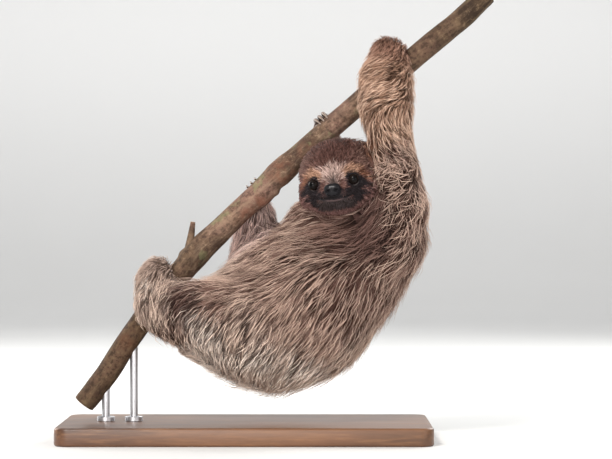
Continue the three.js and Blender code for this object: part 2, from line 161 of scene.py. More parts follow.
# Meshes
def alone(thing):
    bpy.ops.object.select_all(action="DESELECT")
    thing.select_set(True)
    bpy.context.view_layer.objects.active = thing


def points(thing):
    flat = np.zeros(len(thing.data.vertices) * 3)
    thing.data.vertices.foreach_get("co", flat)
    return flat.reshape(-1, 3)


def setPoints(thing, values):
    thing.data.vertices.foreach_set("co", np.asarray(values, dtype=float).ravel())
    thing.data.update()


def faceCentres(thing):
    return np.array([face.center for face in thing.data.polygons]) / mm


# Runs each step, an operator and its options, on the picked edges or faces, or else on all.
def edit(thing, *steps, picked=None, kind="FACE"):
    alone(thing)
    bpy.ops.object.mode_set(mode="EDIT")
    if picked is None:
        bpy.ops.mesh.select_all(action="SELECT")
    else:
        bpy.ops.mesh.select_mode(type=kind)
        bpy.ops.mesh.select_all(action="DESELECT")
        bpy.ops.object.mode_set(mode="OBJECT")
        parts = thing.data.polygons if kind == "FACE" else thing.data.edges
        parts.foreach_set("select", picked)
        bpy.ops.object.mode_set(mode="EDIT")
    for step, options in steps:
        step(**options)
    bpy.ops.object.mode_set(mode="OBJECT")


def applyModifier(thing, kind, **settings):
    alone(thing)
    modifier = thing.modifiers.new(kind.lower(), kind)
    for name, value in settings.items():
        setattr(modifier, name, value)
    bpy.ops.object.modifier_apply(modifier=modifier.name)


def looseCopy(thing):
    twin = thing.copy()
    twin.data = thing.data.copy()
    twin.parent = None
    for key in list(twin.keys()):
        del twin[key]
    bpy.context.collection.objects.link(twin)
    return twin


def joined(things, main):
    alone(main)
    for thing in things:
        thing.select_set(True)
    bpy.ops.object.join()
    return main


def setAttribute(thing, name, kind, values):
    made = thing.data.attributes.new(name, kind, "POINT")
    part = {"FLOAT": "value", "FLOAT_COLOR": "color", "FLOAT_VECTOR": "vector"}[kind]
    made.data.foreach_set(part, np.asarray(values, dtype=float).ravel())


def withAlpha(tint):
    return np.column_stack([tint, np.ones(len(tint))])


# Names and dresses a piece, hangs it on the root body and hides the nodes that it replaces. Only a hard piece
# has an angle that its smooth faces keep to.
def finishPiece(thing, name, material, nodes=(), angle=None):
    thing.name = name
    thing.data.name = name
    thing.data.materials.clear()
    thing.data.materials.append(materials[material])
    alone(thing)
    bpy.ops.object.transform_apply(location=True, rotation=True, scale=True)
    if angle is None:
        bpy.ops.object.shade_smooth()
    else:
        bpy.ops.object.shade_smooth_by_angle(angle=math.radians(angle))
    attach(thing, "root")
    if nodes:
        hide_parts(*nodes)


# Closed tube along a path: a grid rolled up round it, its seam merged and its ends filled.
def sweptTube(path, radii, sides, shape=None):
    path, rings = np.asarray(path, dtype=float), len(path)
    bpy.ops.mesh.primitive_grid_add(x_subdivisions=sides, y_subdivisions=rings - 1, size=1)
    tube = bpy.context.object
    along = np.gradient(path, axis=0)
    along /= np.linalg.norm(along, axis=1)[:, None]
    side = np.cross(along[0], (0, 0, 1)) if abs(along[0][2]) < 0.9 else np.cross(along[0], (0, 1, 0))
    frames = []
    for step in along:
        side = side - step * (side @ step)
        side = side / np.linalg.norm(side)
        frames.append((side, np.cross(step, side)))
    angles = np.linspace(0, 2 * np.pi, sides + 1)
    placed = []
    for ring in range(rings):
        out = np.full(sides + 1, radii[ring])
        if shape is not None:
            out = out * shape(angles % (2 * np.pi), ring / (rings - 1))
        u, v = frames[ring]
        placed.append(path[ring] + out[:, None] * (np.cos(angles)[:, None] * u + np.sin(angles)[:, None] * v))
    setPoints(tube, np.concatenate(placed))
    tight = float(min(radii)) * 0.02
    edit(
        tube,
        (bpy.ops.mesh.remove_doubles, {"threshold": max(tight, 1e-7)}),
        (bpy.ops.mesh.fill_holes, {"sides": 0}),
        (bpy.ops.mesh.normals_make_consistent, {"inside": False}),
    )
    return tube


# The animal's form, in millimetres: balls of x, y, z, radius out to the tips of the coat, depth of
# the coat, and length of its hair.
bodyForm = {
    "trunk": [
        (131, 0, 199, 49, 14, 34), (96, 0, 168, 63, 16, 38), (54, 0, 134, 76.5, 17, 40),
        (19, 0, 116, 66, 17, 38), (-5, 0, 115, 53, 16, 34),
    ],
    "neck": [(64, -6, 218, 24, 7, 18), (100, -14, 240, 30, 9, 20), (111, -10, 272, 28, 9, 20)],
    "armLeft": [
        (143, -32, 200, 38.5, 13, 32), (155, -44, 232, 25.5, 8, 28), (150, -45, 266, 21.5, 7, 26),
        (143, -38, 298, 21.5, 7, 24), (139.5, -27, 330, 27.5, 8, 21), (140, -19, 357, 28, 8, 17),
        (143, -6, 383, 21.5, 6, 13),
    ],
    "armRight": [
        (128, 36, 205, 38, 13, 30), (116, 54, 236, 27, 9, 26), (108, 60, 262, 23.5, 8, 24),
        (88, 46, 282, 17, 6, 18), (79, 31, 300, 14.5, 5, 14), (80, 18, 314, 13.5, 4, 10),
    ],
    "legLeft": [
        (3, -34, 115, 49, 15, 34), (-43, -44, 127, 34, 12, 30), (-66, -40, 128, 31, 10, 27),
        (-83, -29, 135, 27, 8, 22), (-89.5, -17, 157, 20.5, 6, 15), (-87, -4, 165, 20, 6, 12),
    ],
    "legRight": [
        (11, 34, 128, 45, 14, 32), (10, 53, 186, 28, 9, 24), (10, 46, 205, 24, 8, 20),
        (10, 33, 224, 19, 6, 15), (9, 19, 240, 14, 4, 10),
    ],
    "tail": [(-32, 16, 92, 19, 8, 20), (-58, 28, 91, 12, 5, 13)],
}
# How softly the forms run together, and over what distance the hair's length and the head's share pass on.
bodyBlend = {"trunk": 20, "limb": 6, "joined": 16, "head": 5, "hairAlong": 8, "hairAcross": 7, "headShare": 3}
trunkFlatness = 0.9
branchGap = 0.6
# The head's own frame: x to the animal's right, y forward, z up, from the middle of the skull.
headForm = {
    "at": (91, -34, 261.5),
    "yaw": -10,
    "pitch": 8,
    "roll": 8.6,
    "lumps": [
        ((0, -8, 3.5), (40, 37, 37), 10),
        ((0, 3, -15), (40.5, 29, 24), 10),
        ((0, 11, 5), (30, 20, 22), 10),
        ((0, 19, -28), (19, 17, 10.5), 10),
        ((0, 26, -21), (18, 15.5, 12.5), 5),
    ],
    "faceDepth": 2.0,
    "backDepth": 6.0,
    "depthFade": (-24, 4),
}
eyeForm = {
    "at": (20, 27.6, -9.2),
    "axis": (0.30, 0.95, 0.0),
    "radius": 5.2,
    "socketGap": 0.12,
    "lidRadius": 5.0,
    "lidThickness": 1.35,
    "lidForward": 1.9,
    "lidBlend": 1.6,
}
noseForm = {"at": (0, 40, -18.6), "radii": (8.0, 4.6, 6.5)}
# The line of the lips seen from the front, and its grooves: how far down, how deep and how wide.
mouthForm = {
    "line": [(15, -23.2), (11, -25.0), (6, -26.3), (0, -26.9), (-6, -26.5), (-11, -25.4), (-15, -23.4)],
    "grooves": [(0, 1.5, 0.85), (2.4, -0.55, 1.3)],
    "front": (16, 24),
}

# The branch's middle and radius along its length.
branchForm = {
    "line": [
        (-162, 2, 35.5, 11.2), (-140, 0, 64, 11.3), (-118, 0, 98, 11.2), (-90, 0, 137, 11.6),
        (-62, 0, 170, 12.4), (-46, 0, 189, 13.2), (-16, 0, 218, 11.8), (18, 0, 251, 11.6), (36, 0, 268, 13),
        (54, 0, 284, 11.6), (101, 0, 325.5, 11.3), (143, 0, 360.5, 11.2), (184, 1, 394.5, 10.9),
        (215, 2, 420, 10.7), (241, 4, 445, 10.5),
    ],
    "rings": 260,
    "sides": 44,
}


def smoothRow(row, count):
    row = np.asarray(row, dtype=float)
    padded = np.vstack([2 * row[0] - row[1], row, 2 * row[-1] - row[-2]])
    made = []
    for step in np.linspace(0, len(row) - 1, count):
        i = min(int(step), len(row) - 2)
        t = step - i
        a, b, c, d = padded[i : i + 4]
        curve = (2 * a - 5 * b + 4 * c - d) * t**2 + (3 * b - a - 3 * c + d) * t**3
        made.append(0.5 * (2 * b + (c - a) * t + curve))
    return np.array(made)


branchRow = smoothRow(branchForm["line"], 60)


def turned(angle, axis):
    return Matrix.Rotation(math.radians(angle), 3, axis)


headTurn = np.array(
    turned(-headForm["roll"], "Y") @ turned(180 + headForm["yaw"], "Z") @ turned(headForm["pitch"], "X")
)
headAt = np.array(headForm["at"], dtype=float)


def intoHead(p):
    return (p - headAt) @ headTurn


def outOfHead(q):
    return np.asarray(q) @ headTurn.T + headAt


def softLow(a, b, k):
    h = np.maximum(k - np.abs(a - b), 0) / k
    return np.minimum(a, b) - h * h * k / 4


def eased(value, low, high):
    t = np.clip((value - low) / (high - low), 0, 1)
    return t * t * (3 - 2 * t)


def between(a, b, share):
    return a * (1 - share[:, None]) + np.asarray(b) * share[:, None]


def nearChain(p, balls, blend, flat=1.0):
    q = p * (1, 1 / flat, 1)
    coat = skin = None
    total = length = 0
    for first, last in zip(balls, balls[1:]):
        a, b = np.array(first, dtype=float), np.array(last, dtype=float)
        ab = b[:3] - a[:3]
        t = np.clip((q - a[:3]) @ ab / (ab @ ab), 0, 1)
        away = np.linalg.norm(q - a[:3] - t[:, None] * ab, axis=1)
        size = a[3:] + t[:, None] * (b[3:] - a[3:])
        outer = (away - size[:, 0]) * flat
        inner = outer + size[:, 1]
        coat = outer if coat is None else softLow(coat, outer, blend)
        skin = inner if skin is None else softLow(skin, inner, blend)
        weight = np.exp(-np.clip(outer, -70, 200) / bodyBlend["hairAlong"])
        total = total + weight
        length = length + weight * size[:, 2]
    return coat, skin, length / total


def eggDistance(q, at, radii):
    v = (q - np.array(at)) / radii
    r = np.linalg.norm(v, axis=1)
    steep = np.linalg.norm(v / radii, axis=1)
    return r * (r - 1) / np.maximum(steep, 1e-6)


def lineDistance(x, z, line):
    best = np.full(len(x), 1e9)
    for (ax, az), (bx, bz) in zip(line, line[1:]):
        dx, dz = bx - ax, bz - az
        t = np.clip(((x - ax) * dx + (z - az) * dz) / (dx * dx + dz * dz), 0, 1)
        best = np.minimum(best, np.hypot(x - ax - t * dx, z - az - t * dz))
    return best


def eyeFrame(side):
    axis = np.array(eyeForm["axis"]) * (side, 1, 1)
    return np.array(eyeForm["at"]) * (side, 1, 1), axis / np.linalg.norm(axis)


def eyeDistance(q):
    return np.minimum(*[np.linalg.norm(q - eyeFrame(side)[0], axis=1) for side in (1, -1)])


def mouthDistance(q, drop=0):
    return lineDistance(q[:, 0], q[:, 2] + drop, mouthForm["line"])


def noseDistance(q):
    return eggDistance(q, noseForm["at"], noseForm["radii"])


# Lids round each eye with the eyeball's socket cut out, and the groove of the mouth.
def carveFace(q, skin):
    for side in (1, -1):
        at, axis = eyeFrame(side)
        v = q - at - eyeForm["lidForward"] * axis
        height = v @ axis
        around = np.linalg.norm(v - height[:, None] * axis, axis=1)
        lid = np.hypot(around - eyeForm["lidRadius"], height) - eyeForm["lidThickness"]
        skin = softLow(skin, lid, eyeForm["lidBlend"])
        skin = np.maximum(skin, eyeForm["radius"] + eyeForm["socketGap"] - np.linalg.norm(q - at, axis=1))
    front = eased(q[:, 1], *mouthForm["front"])
    for drop, depth, width in mouthForm["grooves"]:
        skin = skin + front * depth * np.exp(-((mouthDistance(q, drop) / width) ** 2))
    return skin


def branchDistance(p):
    best = np.full(len(p), 1e9)
    for a, b in zip(branchRow, branchRow[1:]):
        ab = b[:3] - a[:3]
        t = np.clip((p - a[:3]) @ ab / (ab @ ab), 0, 1)
        away = np.linalg.norm(p - a[:3] - t[:, None] * ab, axis=1)
        best = np.minimum(best, away - a[3] - t * (b[3] - a[3]))
    return best


chainNames = list(bodyForm)


# Distances outside the skin and outside the tips of the coat, the hair's length, how far a point
# belongs to the head, its place in the head's frame, and the chain that it is nearest to.
def measure(p, detailed=False):
    coats, skins, lengths = [], [], []
    for name, balls in bodyForm.items():
        flat = trunkFlatness if name == "trunk" else 1.0
        blend = bodyBlend["trunk" if name == "trunk" else "limb"]
        coat, skin, length = nearChain(p, balls, blend, flat)
        coats.append(coat)
        skins.append(skin)
        lengths.append(length)
    coat, skin = coats[0], skins[0]
    for other, inner in zip(coats[1:], skins[1:]):
        coat = softLow(coat, other, bodyBlend["joined"])
        skin = softLow(skin, inner, bodyBlend["joined"])
    weights = np.exp(-np.clip(np.array(coats), -70, 300) / bodyBlend["hairAcross"])
    length = (weights * np.array(lengths)).sum(0) / weights.sum(0)
    q = intoHead(p)
    headCoat = None
    for at, radii, blend in headForm["lumps"]:
        egg = eggDistance(q, at, radii)
        headCoat = egg if headCoat is None else softLow(headCoat, egg, blend)
    fade = eased(-q[:, 1], *headForm["depthFade"])
    headSkin = headCoat + (headForm["faceDepth"] + (headForm["backDepth"] - headForm["faceDepth"]) * fade)
    if detailed:
        headSkin = carveFace(q, headSkin)
    headShare = 1 / (1 + np.exp(np.clip((headCoat - coat) / bodyBlend["headShare"], -40, 40)))
    coat = softLow(coat, headCoat, bodyBlend["head"])
    skin = softLow(skin, headSkin, bodyBlend["head"])
    skin = np.maximum(skin, branchGap - branchDistance(p))
    labels = np.argmin(np.vstack([np.array(coats), headCoat[None]]), axis=0)
    return {"coat": coat, "skin": skin, "length": length, "head": headShare, "q": q, "label": labels}


def slopeOf(p, key="skin", detailed=False, step=0.4):
    here = measure(p, detailed)[key]
    slope = np.zeros_like(p)
    for axis in range(3):
        moved = p.copy()
        moved[:, axis] += step
        slope[:, axis] = (measure(moved, detailed)[key] - here) / step
    return here, slope


def unit(v):
    return v / np.maximum(np.linalg.norm(v, axis=1), 1e-9)[:, None]


# Moves points onto the skin's surface.
def settle(p, passes, detailed=False, step=0.4, most=3.0):
    for _ in range(passes):
        value, slope = slopeOf(p, "skin", detailed, step)
        steep = np.maximum((slope**2).sum(1), 0.25)
        shift = -(value / steep)[:, None] * slope
        far = np.linalg.norm(shift, axis=1)
        p = p + shift * np.minimum(1, most / np.maximum(far, 1e-9))[:, None]
    return p


# Colours of the coat by place. Body places are x, y, z and reach.
coatColours = {
    # cream is made paler than the fringe's own colour, partly as painted light for the underside.
    "cream": (242, 230, 220), "fawn": (188, 166, 153), "sand": (190, 154, 131), "hazel": (170, 142, 129),
    "dun": (157, 128, 116), "umber": (142, 112, 101), "chestnut": (122, 92, 83), "walnut": (100, 74, 66),
    "bistre": (88, 66, 60), "russet": (134, 99, 91), "rust": (146, 102, 82), "tan": (188, 149, 125),
    # The rose in the row below is paler than the far leg's hair: partly its pinkish colour, partly painted
    # light.
    "blaze": (206, 181, 171), "crown": (100, 70, 63), "rose": (230, 202, 195), "mask": (51, 45, 48),
    "muzzle": (72, 63, 63), "mauve": (146, 109, 104), "bridge": (92, 80, 78), "lip": (78, 61, 61),
    # The lids' edge colour in the row below is a painted highlight, not a colour of the hide.
    "lid": (24, 20, 22), "lidEdgeHighlight": (112, 103, 102), "frost": (160, 143, 129), "rosy": (164, 126, 108),
}
palette = {name: rgb(*values) for name, values in coatColours.items()}
# How far a point has to belong to the head before its colours, combing and hair take over: from and to.
headMix = {"tint": (0.2, 0.8), "comb": (0.3, 0.9), "hair": (0.3, 0.8)}
placeBlend = {"core": 0.15, "power": 3, "squeeze": 0.6}
bodyMarkings = [
    # The bistre row on the next line, at the throat under the near arm, is painted shade.
    ((94, -30, 212), 24, "walnut"), ((126, -60, 220), 24, "bistre"), ((46, -10, 222), 16, "umber"),
    ((36, -60, 190), 14, "chestnut"), ((30, -50, 190), 30, "umber"), ((60, -70, 140), 34, "dun"),
    ((100, -60, 150), 30, "chestnut"), ((150, 0, 180), 30, "umber"), ((112, -10, 92), 24, "fawn"),
    # The cream rows on the next two lines, on the underside, are partly the pale fringe's own colour and
    # partly painted light, where little light reaches.
    ((84, -60, 100), 20, "dun"), ((60, -30, 60), 30, "cream"), ((24, -36, 56), 34, "cream"),
    ((-12, -50, 74), 28, "cream"), ((-40, -50, 98), 26, "cream"), ((-4, -72, 110), 20, "fawn"),
    ((-20, -72, 146), 20, "umber"), ((-56, -62, 140), 14, "bistre"), ((-66, -60, 108), 18, "hazel"),
    ((-92, -36, 130), 20, "fawn"), ((-96, -32, 153), 5, "cream"), ((-90, -16, 172), 16, "fawn"),
    ((144, -16, 398), 16, "rosy"), ((136, -40, 356), 18, "sand"), ((138, -55, 320), 20, "sand"),
    # The bistre rows on the next two lines, at the elbow and down the crease between the near arm and the
    # body, are painted shade.
    ((139, -60, 289), 7, "bistre"), ((152, -62, 282), 14, "umber"), ((148, -64, 262), 16, "umber"),
    ((133, -60, 240), 14, "bistre"), ((134, -60, 204), 18, "bistre"), ((160, -58, 226), 20, "umber"),
    # The rose rows on the next two lines, on the far leg, are partly its pinkish colour and partly painted
    # light, as if lit from behind through the hair.
    ((172, -40, 250), 16, "hazel"), ((110, -10, 290), 24, "rust"), ((10, 28, 200), 22, "rose"),
    ((0, 10, 176), 14, "fawn"), ((10, 24, 232), 22, "rose"), ((12, 78, 190), 26, "hazel"),
    ((84, 36, 296), 20, "umber"), ((112, 60, 250), 22, "hazel"), ((60, 70, 140), 40, "hazel"),
    ((0, 50, 80), 36, "fawn"), ((-50, 28, 92), 20, "fawn"),
]
# The head's ground colours, alike on both sides, in its own frame.
headGround = [
    ((0, -20, 34), 30, "crown"), ((0, 10, 30), 20, "crown"), ((0, -44, 0), 30, "umber"),
    ((36, 4, -10), 16, "mauve"), ((0, 0, -44), 18, "mauve"), ((34, 8, 12), 14, "chestnut"),
]
# Patches over them, the last on top: colour, from and to, reach at each end, softness, and how raggedly
# the hairs carry it.
facePatches = [
    ("blaze", (0, 32, -1.5), (15, 30.5, -0.5), 3.4, 3.4, 5, 2.2),
    ("blaze", (0, 32, 2), (0, 34, -8), 3.5, 3.5, 5, 1.5),
    ("tan", (14, 31, -1.5), (20, 28.5, 2.2), 2.9, 2.9, 4, 0.4),
    ("tan", (20, 28.5, 2.2), (28, 23.5, -0.5), 2.8, 2.8, 4, 0.4),
    ("rust", (28, 23, -2), (35, 18, -8), 2, 2, 4, 0.4),
    ("russet", (9, 36, -11), (11, 36, -16), 2.8, 2.8, 2, 0.4),
    ("mauve", (0, 26, -41), (24, 19, -34), 3, 3, 6, 0.4),
    ("muzzle", (0, 35, -31), (17, 26, -31), 6, 4, 3.5, 0.4),
    ("mask", (19.2, 28, -9.2), (21.5, 26.5, -12), 7.5, 7.5, 1.6, 0.4),
    ("mask", (23, 26, -10), (36, 17, -16.5), 5.8, 1.4, 2, 0.4),
    ("mask", (14, 34, -21), (32, 19, -22.5), 3.8, 1.5, 2, 0.4),
    ("mask", (20, 26, -18), (21, 23, -25), 4.5, 4.5, 3, 0.4),
    ("bridge", (0, 35, -8), (0, 38, -13), 3.2, 3.2, 3, 0.4),
    ("mask", (0, 41, -18), (6, 41, -22), 6, 6, 2.5, 0.4),
    ("lip", (9, 38, -22), (12, 37, -22.5), 1.8, 1.8, 2, 0.4),
]


def coloured(rows):
    return [(at, reach, palette[name]) for at, reach, name in rows]


bodyTints = coloured(bodyMarkings)
headTints = coloured(headGround)


def blendPlaces(p, rows, squeeze=1.0):
    total = np.full(len(p), 1e-9)
    mixed = np.zeros((len(p), 3))
    for at, reach, value in rows:
        away = ((p - np.array(at)) * (1, squeeze, 1) / reach) ** 2
        weight = 1 / (placeBlend["core"] + away.sum(1)) ** placeBlend["power"]
        total += weight
        mixed += weight[:, None] * np.array(value)
    return mixed / total[:, None]


def facePaint(q, stray):
    mirrored = np.abs(q) * (1, 0, 0) + q * (0, 1, 1)
    tint = blendPlaces(mirrored, headTints)
    for colour, first, last, wide, narrow, soft, ragged in facePatches:
        a, b = np.array(first, dtype=float), np.array(last, dtype=float)
        t = np.clip((mirrored - a) @ (b - a) / ((b - a) @ (b - a)), 0, 1)
        away = np.linalg.norm(mirrored - a - t[:, None] * (b - a), axis=1)
        away = away + stray * ragged - (wide + t * (narrow - wide))
        tint = between(tint, palette[colour], 1 - eased(away, 0, soft))
    return tint


def markings(p, head, stray=0.0):
    body = blendPlaces(p, bodyTints, placeBlend["squeeze"])
    return between(body, facePaint(intoHead(p), stray), eased(head, *headMix["tint"]))


# The lie of the hair: at each place, the way that the strands run.
combing = [
    ((144, -60, 214), (-0.75, 0, -0.65)), ((94, -50, 212), (-0.95, 0, -0.3)),
    ((54, -60, 205), (-0.9, 0, -0.45)), ((14, -60, 187), (-0.82, 0, -0.57)),
    ((-15, -62, 165), (-0.75, 0, -0.65)), ((54, -75, 139), (-0.64, 0, -0.77)),
    ((100, -65, 150), (-0.55, 0, -0.83)), ((134, -50, 150), (-0.48, 0, -0.88)),
    ((154, -20, 182), (-0.38, 0, -0.92)), ((124, -20, 98), (-0.68, 0, -0.73)),
    ((84, -50, 96), (-0.58, 0, -0.81)), ((54, -40, 72), (-0.3, 0, -0.95)),
    ((19, -40, 64), (-0.18, 0, -0.98)), ((-21, -50, 80), (-0.12, 0, -0.99)), ((-46, -60, 105), (0, 0, -1)),
    ((-30, -4, 62), (-0.9, 0, -0.4)), ((0, -4, 48), (-0.9, 0, -0.35)), ((30, -4, 48), (-0.9, 0, -0.35)),
    ((64, -4, 58), (-0.85, 0, -0.5)), ((10, -75, 120), (-0.5, 0, -0.86)),
    ((-31, -75, 119), (-0.35, 0, -0.93)), ((-40, -70, 150), (-0.75, 0, -0.5)),
    ((-66, -65, 150), (-0.5, 0, -0.86)), ((-72, -65, 120), (0.05, 0, -1)), ((-96, -40, 139), (0.12, 0, -1)),
    ((-94, -30, 172), (-0.4, -0.4, -0.8)), ((-80, -20, 180), (-0.6, -0.5, -0.5)),
    ((144, -30, 396), (-0.5, -0.5, -0.6)), ((140, -45, 368), (-0.8, 0, -0.5)),
    ((138, -55, 340), (-0.9, 0, -0.35)), ((138, -60, 322), (0.35, 0, -0.9)),
    ((140, -62, 304), (0.7, 0, -0.7)), ((142, -66, 284), (0.75, 0, -0.6)),
    ((148, -68, 264), (-0.9, 0, -0.2)), ((152, -66, 240), (-0.6, 0, -0.8)),
    ((172, -46, 240), (-0.1, 0, -1)), ((84, 40, 290), (0.45, 0.3, -0.8)),
    ((110, 75, 262), (0.3, 0.3, -0.9)), ((10, 70, 200), (0.05, 0.2, -1)), ((10, 30, 238), (0.0, 0.5, -0.8)),
    ((-60, 30, 92), (-0.9, 0.3, -0.3)),
]
combForm = {"reach": 16, "mirrorBelow": 225, "mirrorFrom": -60, "faceFrom": (0, 37, -12), "faceFall": 0.22}


# Both flanks are alike, apart from the arms and the far foot.
def combRows():
    rows = []
    for (x, y, z), way in combing:
        rows.append(((x, y, z), combForm["reach"], way))
        if y < 0 and z < combForm["mirrorBelow"] and x > combForm["mirrorFrom"]:
            rows.append(((x, -y, z), combForm["reach"], (way[0], -way[1], way[2])))
    return rows


combs = combRows()


def combAt(p, head, q):
    body = unit(blendPlaces(p, combs))
    out = unit(q - np.array(combForm["faceFrom"]))
    face = unit(out @ headTurn.T + np.array([0, 0, -combForm["faceFall"]]))
    return unit(between(body, face, eased(head, *headMix["comb"])))


# Materials: each look takes a Shade and the object's coordinates, and gives what varies over the surface.
coatFinish = {
    "root": 0.36,
    "deep": 0.14,
    "full": 1.0,
    "pale": (1.9, 1.9, 1.9, 1),
    "warm": (1.0, 0.83, 0.76, 1),
    "mottle": (0.55, 0.5, 0.48, 1),
    "roughness": 0.66,
}


def coatLook(base, place):
    marking = base.attribute("marking", 0)
    along = base.attribute("along")
    strand = base.attribute("strand")
    # The darkest strands, tinted warm brown, are partly dark hair and partly painted shade in the gaps
    # between the locks.
    tone = strand.steps(0.0, 0.62, coatFinish["deep"], coatFinish["full"])
    tone = tone * along.steps(0.0, 0.55, coatFinish["root"], 1.0)
    lit = base.node("ShaderNodeVectorMath", {"operation": "SCALE"}, {0: marking, "Scale": tone})
    lit = base.mix((1 - strand.steps(0.1, 0.6)) * 0.7, lit, coatFinish["warm"], "MULTIPLY")
    bleached = base.mix(1.0, marking, coatFinish["pale"], "MULTIPLY")
    lit = base.mix(strand.steps(0.66, 0.96) * along.steps(0.05, 0.7), lit, bleached)
    mottle = base.mix(base.noise(place, 60).steps(0.3, 0.7), coatFinish["mottle"], (1, 1, 1, 1))
    lit = base.mix(0.22, lit, mottle, "MULTIPLY")
    return {"Base Color": lit, "Roughness": coatFinish["roughness"] + (strand - 0.5) * 0.14}


hideFinish = {"underHair": (0.36, 0.33, 0.32, 1), "creases": (0.7, 0.7, 0.7, 1)}


def hideLook(base, place):
    marking = base.attribute("marking", 0)
    bare = base.attribute("bare")
    fine = base.noise(place, 900, 4)
    under = base.mix(1.0, marking, hideFinish["underHair"], "MULTIPLY")
    creased = base.mix(1.0, marking, hideFinish["creases"], "MULTIPLY")
    hide = base.mix(fine.steps(0.3, 0.7), creased, marking)
    normal = base.bump(fine * 0.6 + base.cells(place, 1300) * 0.4, 0.5, 0.0004)
    rough = 0.7 - bare * 0.22 + fine * 0.1
    return {"Base Color": base.mix(bare, under, hide), "Roughness": rough, "Normal": normal}


def noseLook(base, place):
    fine = base.noise(place, 700, 4)
    colour = base.mix(fine.steps(0.3, 0.7), (0.004, 0.004, 0.005, 1), (0.012, 0.011, 0.013, 1))
    return {
        "Base Color": colour,
        "Roughness": 0.5 + fine * 0.12,
        "Coat Weight": 0.07 + fine * 0.05,
        "Normal": base.bump(base.cells(place, 1500) * 0.7 + fine * 0.5, 0.3, 0.0002),
    }


eyeFinish = {
    "pupil": (0.002, 0.002, 0.002, 1),
    "iris": (0.003, 0.0025, 0.002, 1),
    "rim": (0.010, 0.007, 0.006, 1),
}


def eyeLook(base, place):
    gaze = base.attribute("gaze")
    rays = base.noise(place, 800)
    iris = base.mix(rays.steps(0.35, 0.65), eyeFinish["iris"], eyeFinish["rim"])
    colour = base.mix(gaze.steps(0.34, 0.40), eyeFinish["pupil"], iris)
    colour = base.mix(gaze.steps(0.74, 0.90), colour, eyeFinish["rim"])
    return {"Base Color": colour, "Roughness": 0.16 + rays * 0.06}


clawFinish = {
    "dark": solid(92, 77, 68),
    "light": solid(144, 127, 115),
    "tip": solid(166, 149, 139),
    "root": solid(78, 62, 56),
}


def clawLook(base, place):
    along = base.attribute("along")
    lines = base.noise(base.stretched(place, (600, 600, 160)), 1.0, 4)
    colour = base.layers(
        base.mix(lines.steps(0.3, 0.7), clawFinish["dark"], clawFinish["light"]),
        (along.steps(0.75, 1.0) * 0.6, clawFinish["tip"]),
        ((1 - along.steps(0.0, 0.3)) * 0.7, clawFinish["root"]),
    )
    return {"Base Color": colour, "Roughness": 0.38 + lines * 0.2, "Normal": base.bump(lines, 0.35, 0.0003)}


barkFinish = {
    "dark": solid(57, 42, 34),
    "mid": solid(100, 79, 62),
    "light": solid(148, 124, 104),
    "lichen": solid(116, 118, 84),
    "red": solid(120, 77, 60),
    "mauve": solid(136, 104, 92),
    "sapwood": solid(196, 164, 120),
    "heartwood": solid(142, 104, 68),
    "dusk": (0.34, 0.33, 0.20, 1),
}


def barkLook(base, place):
    broad = base.noise(place, 22, 4, 0.6)
    grain = base.noise(base.attribute("barkPlace", 1), 230, 6, 0.62)
    fine = base.noise(place, 900, 4, 0.6)
    mottle = base.noise(place, 190, 5, 0.7)
    lichen = base.noise(place, 34, 5, 0.7).steps(0.58, 0.66) * base.noise(place, 9, 2).steps(0.42, 0.58)
    red = base.attribute("red") * base.noise(place, 90, 4).steps(0.38, 0.6)
    spots = 1 - base.cells(place, 420).steps(0.06, 0.22)
    colour = base.layers(
        base.mix(broad.steps(0.32, 0.68), barkFinish["dark"], barkFinish["mid"]),
        (base.noise(place, 14).steps(0.42, 0.6) * 0.6, barkFinish["mauve"]),
        (mottle.steps(0.52, 0.40) * 0.7, barkFinish["dark"]),
        (grain.steps(0.45, 0.72) * 0.5, barkFinish["light"]),
        (mottle.steps(0.55, 0.68) * 0.7, barkFinish["light"]),
        (lichen * 0.55, barkFinish["lichen"]),
        (red * 0.75, barkFinish["red"]),
        (spots * 0.35, barkFinish["light"]),
    )
    dusk = base.attribute("dusk") * (0.75 + broad * 0.4)
    turns = base.math("SINE", base.attribute("ring") * 58 + broad * 6, 0)
    wood = base.mix(turns.steps(-0.6, 0.9), barkFinish["sapwood"], barkFinish["heartwood"])
    dusky = base.mix(1.0, colour, barkFinish["dusk"], "MULTIPLY")
    colour = base.layers(colour, (dusk * 0.8, dusky), (base.attribute("cut"), wood))
    normal = base.bump(grain * 0.7 + mottle * 0.6 + fine * 0.35 - spots * 0.2, 0.75, 0.0014)
    return {"Base Color": colour, "Roughness": 0.78 + fine * 0.14, "Normal": normal}


woodFinish = {"dark": solid(58, 36, 24), "mid": solid(98, 64, 42), "light": solid(132, 92, 60)}


def woodLook(base, place):
    grain = base.noise(base.stretched(place, (0.10, 1, 1)), 190, 5, 0.6)
    figure = base.noise(base.stretched(place, (0.16, 1, 1)), 36, 3, 0.6)
    pores = base.noise(base.stretched(place, (0.05, 1, 1)), 900)
    colour = base.layers(
        base.mix(figure.steps(0.3, 0.7), woodFinish["dark"], woodFinish["mid"]),
        (grain.steps(0.42, 0.75) * 0.7, woodFinish["light"]),
        (pores.steps(0.6, 0.75) * 0.5, woodFinish["dark"]),
        (base.noise(place, 5).steps(0.35, 0.65) * 0.25, woodFinish["light"]),
    )
    return {
        "Base Color": colour,
        "Roughness": 0.36 + grain * 0.16,
        "Coat Weight": 0.2 + figure * 0.1,
        "Normal": base.bump(grain * 0.5 + pores * 0.5, 0.25, 0.0005),
    }


def steelLook(base, place):
    lines = base.noise(base.stretched(place, (40, 40, 1400)), 1.0)
    return {
        "Base Color": base.mix(lines, (0.42, 0.42, 0.44, 1), (0.60, 0.60, 0.62, 1)),
        "Roughness": 0.26 + lines * 0.12 + base.noise(place, 30) * 0.08,
        "Normal": base.bump(lines, 0.12, 0.0002),
    }


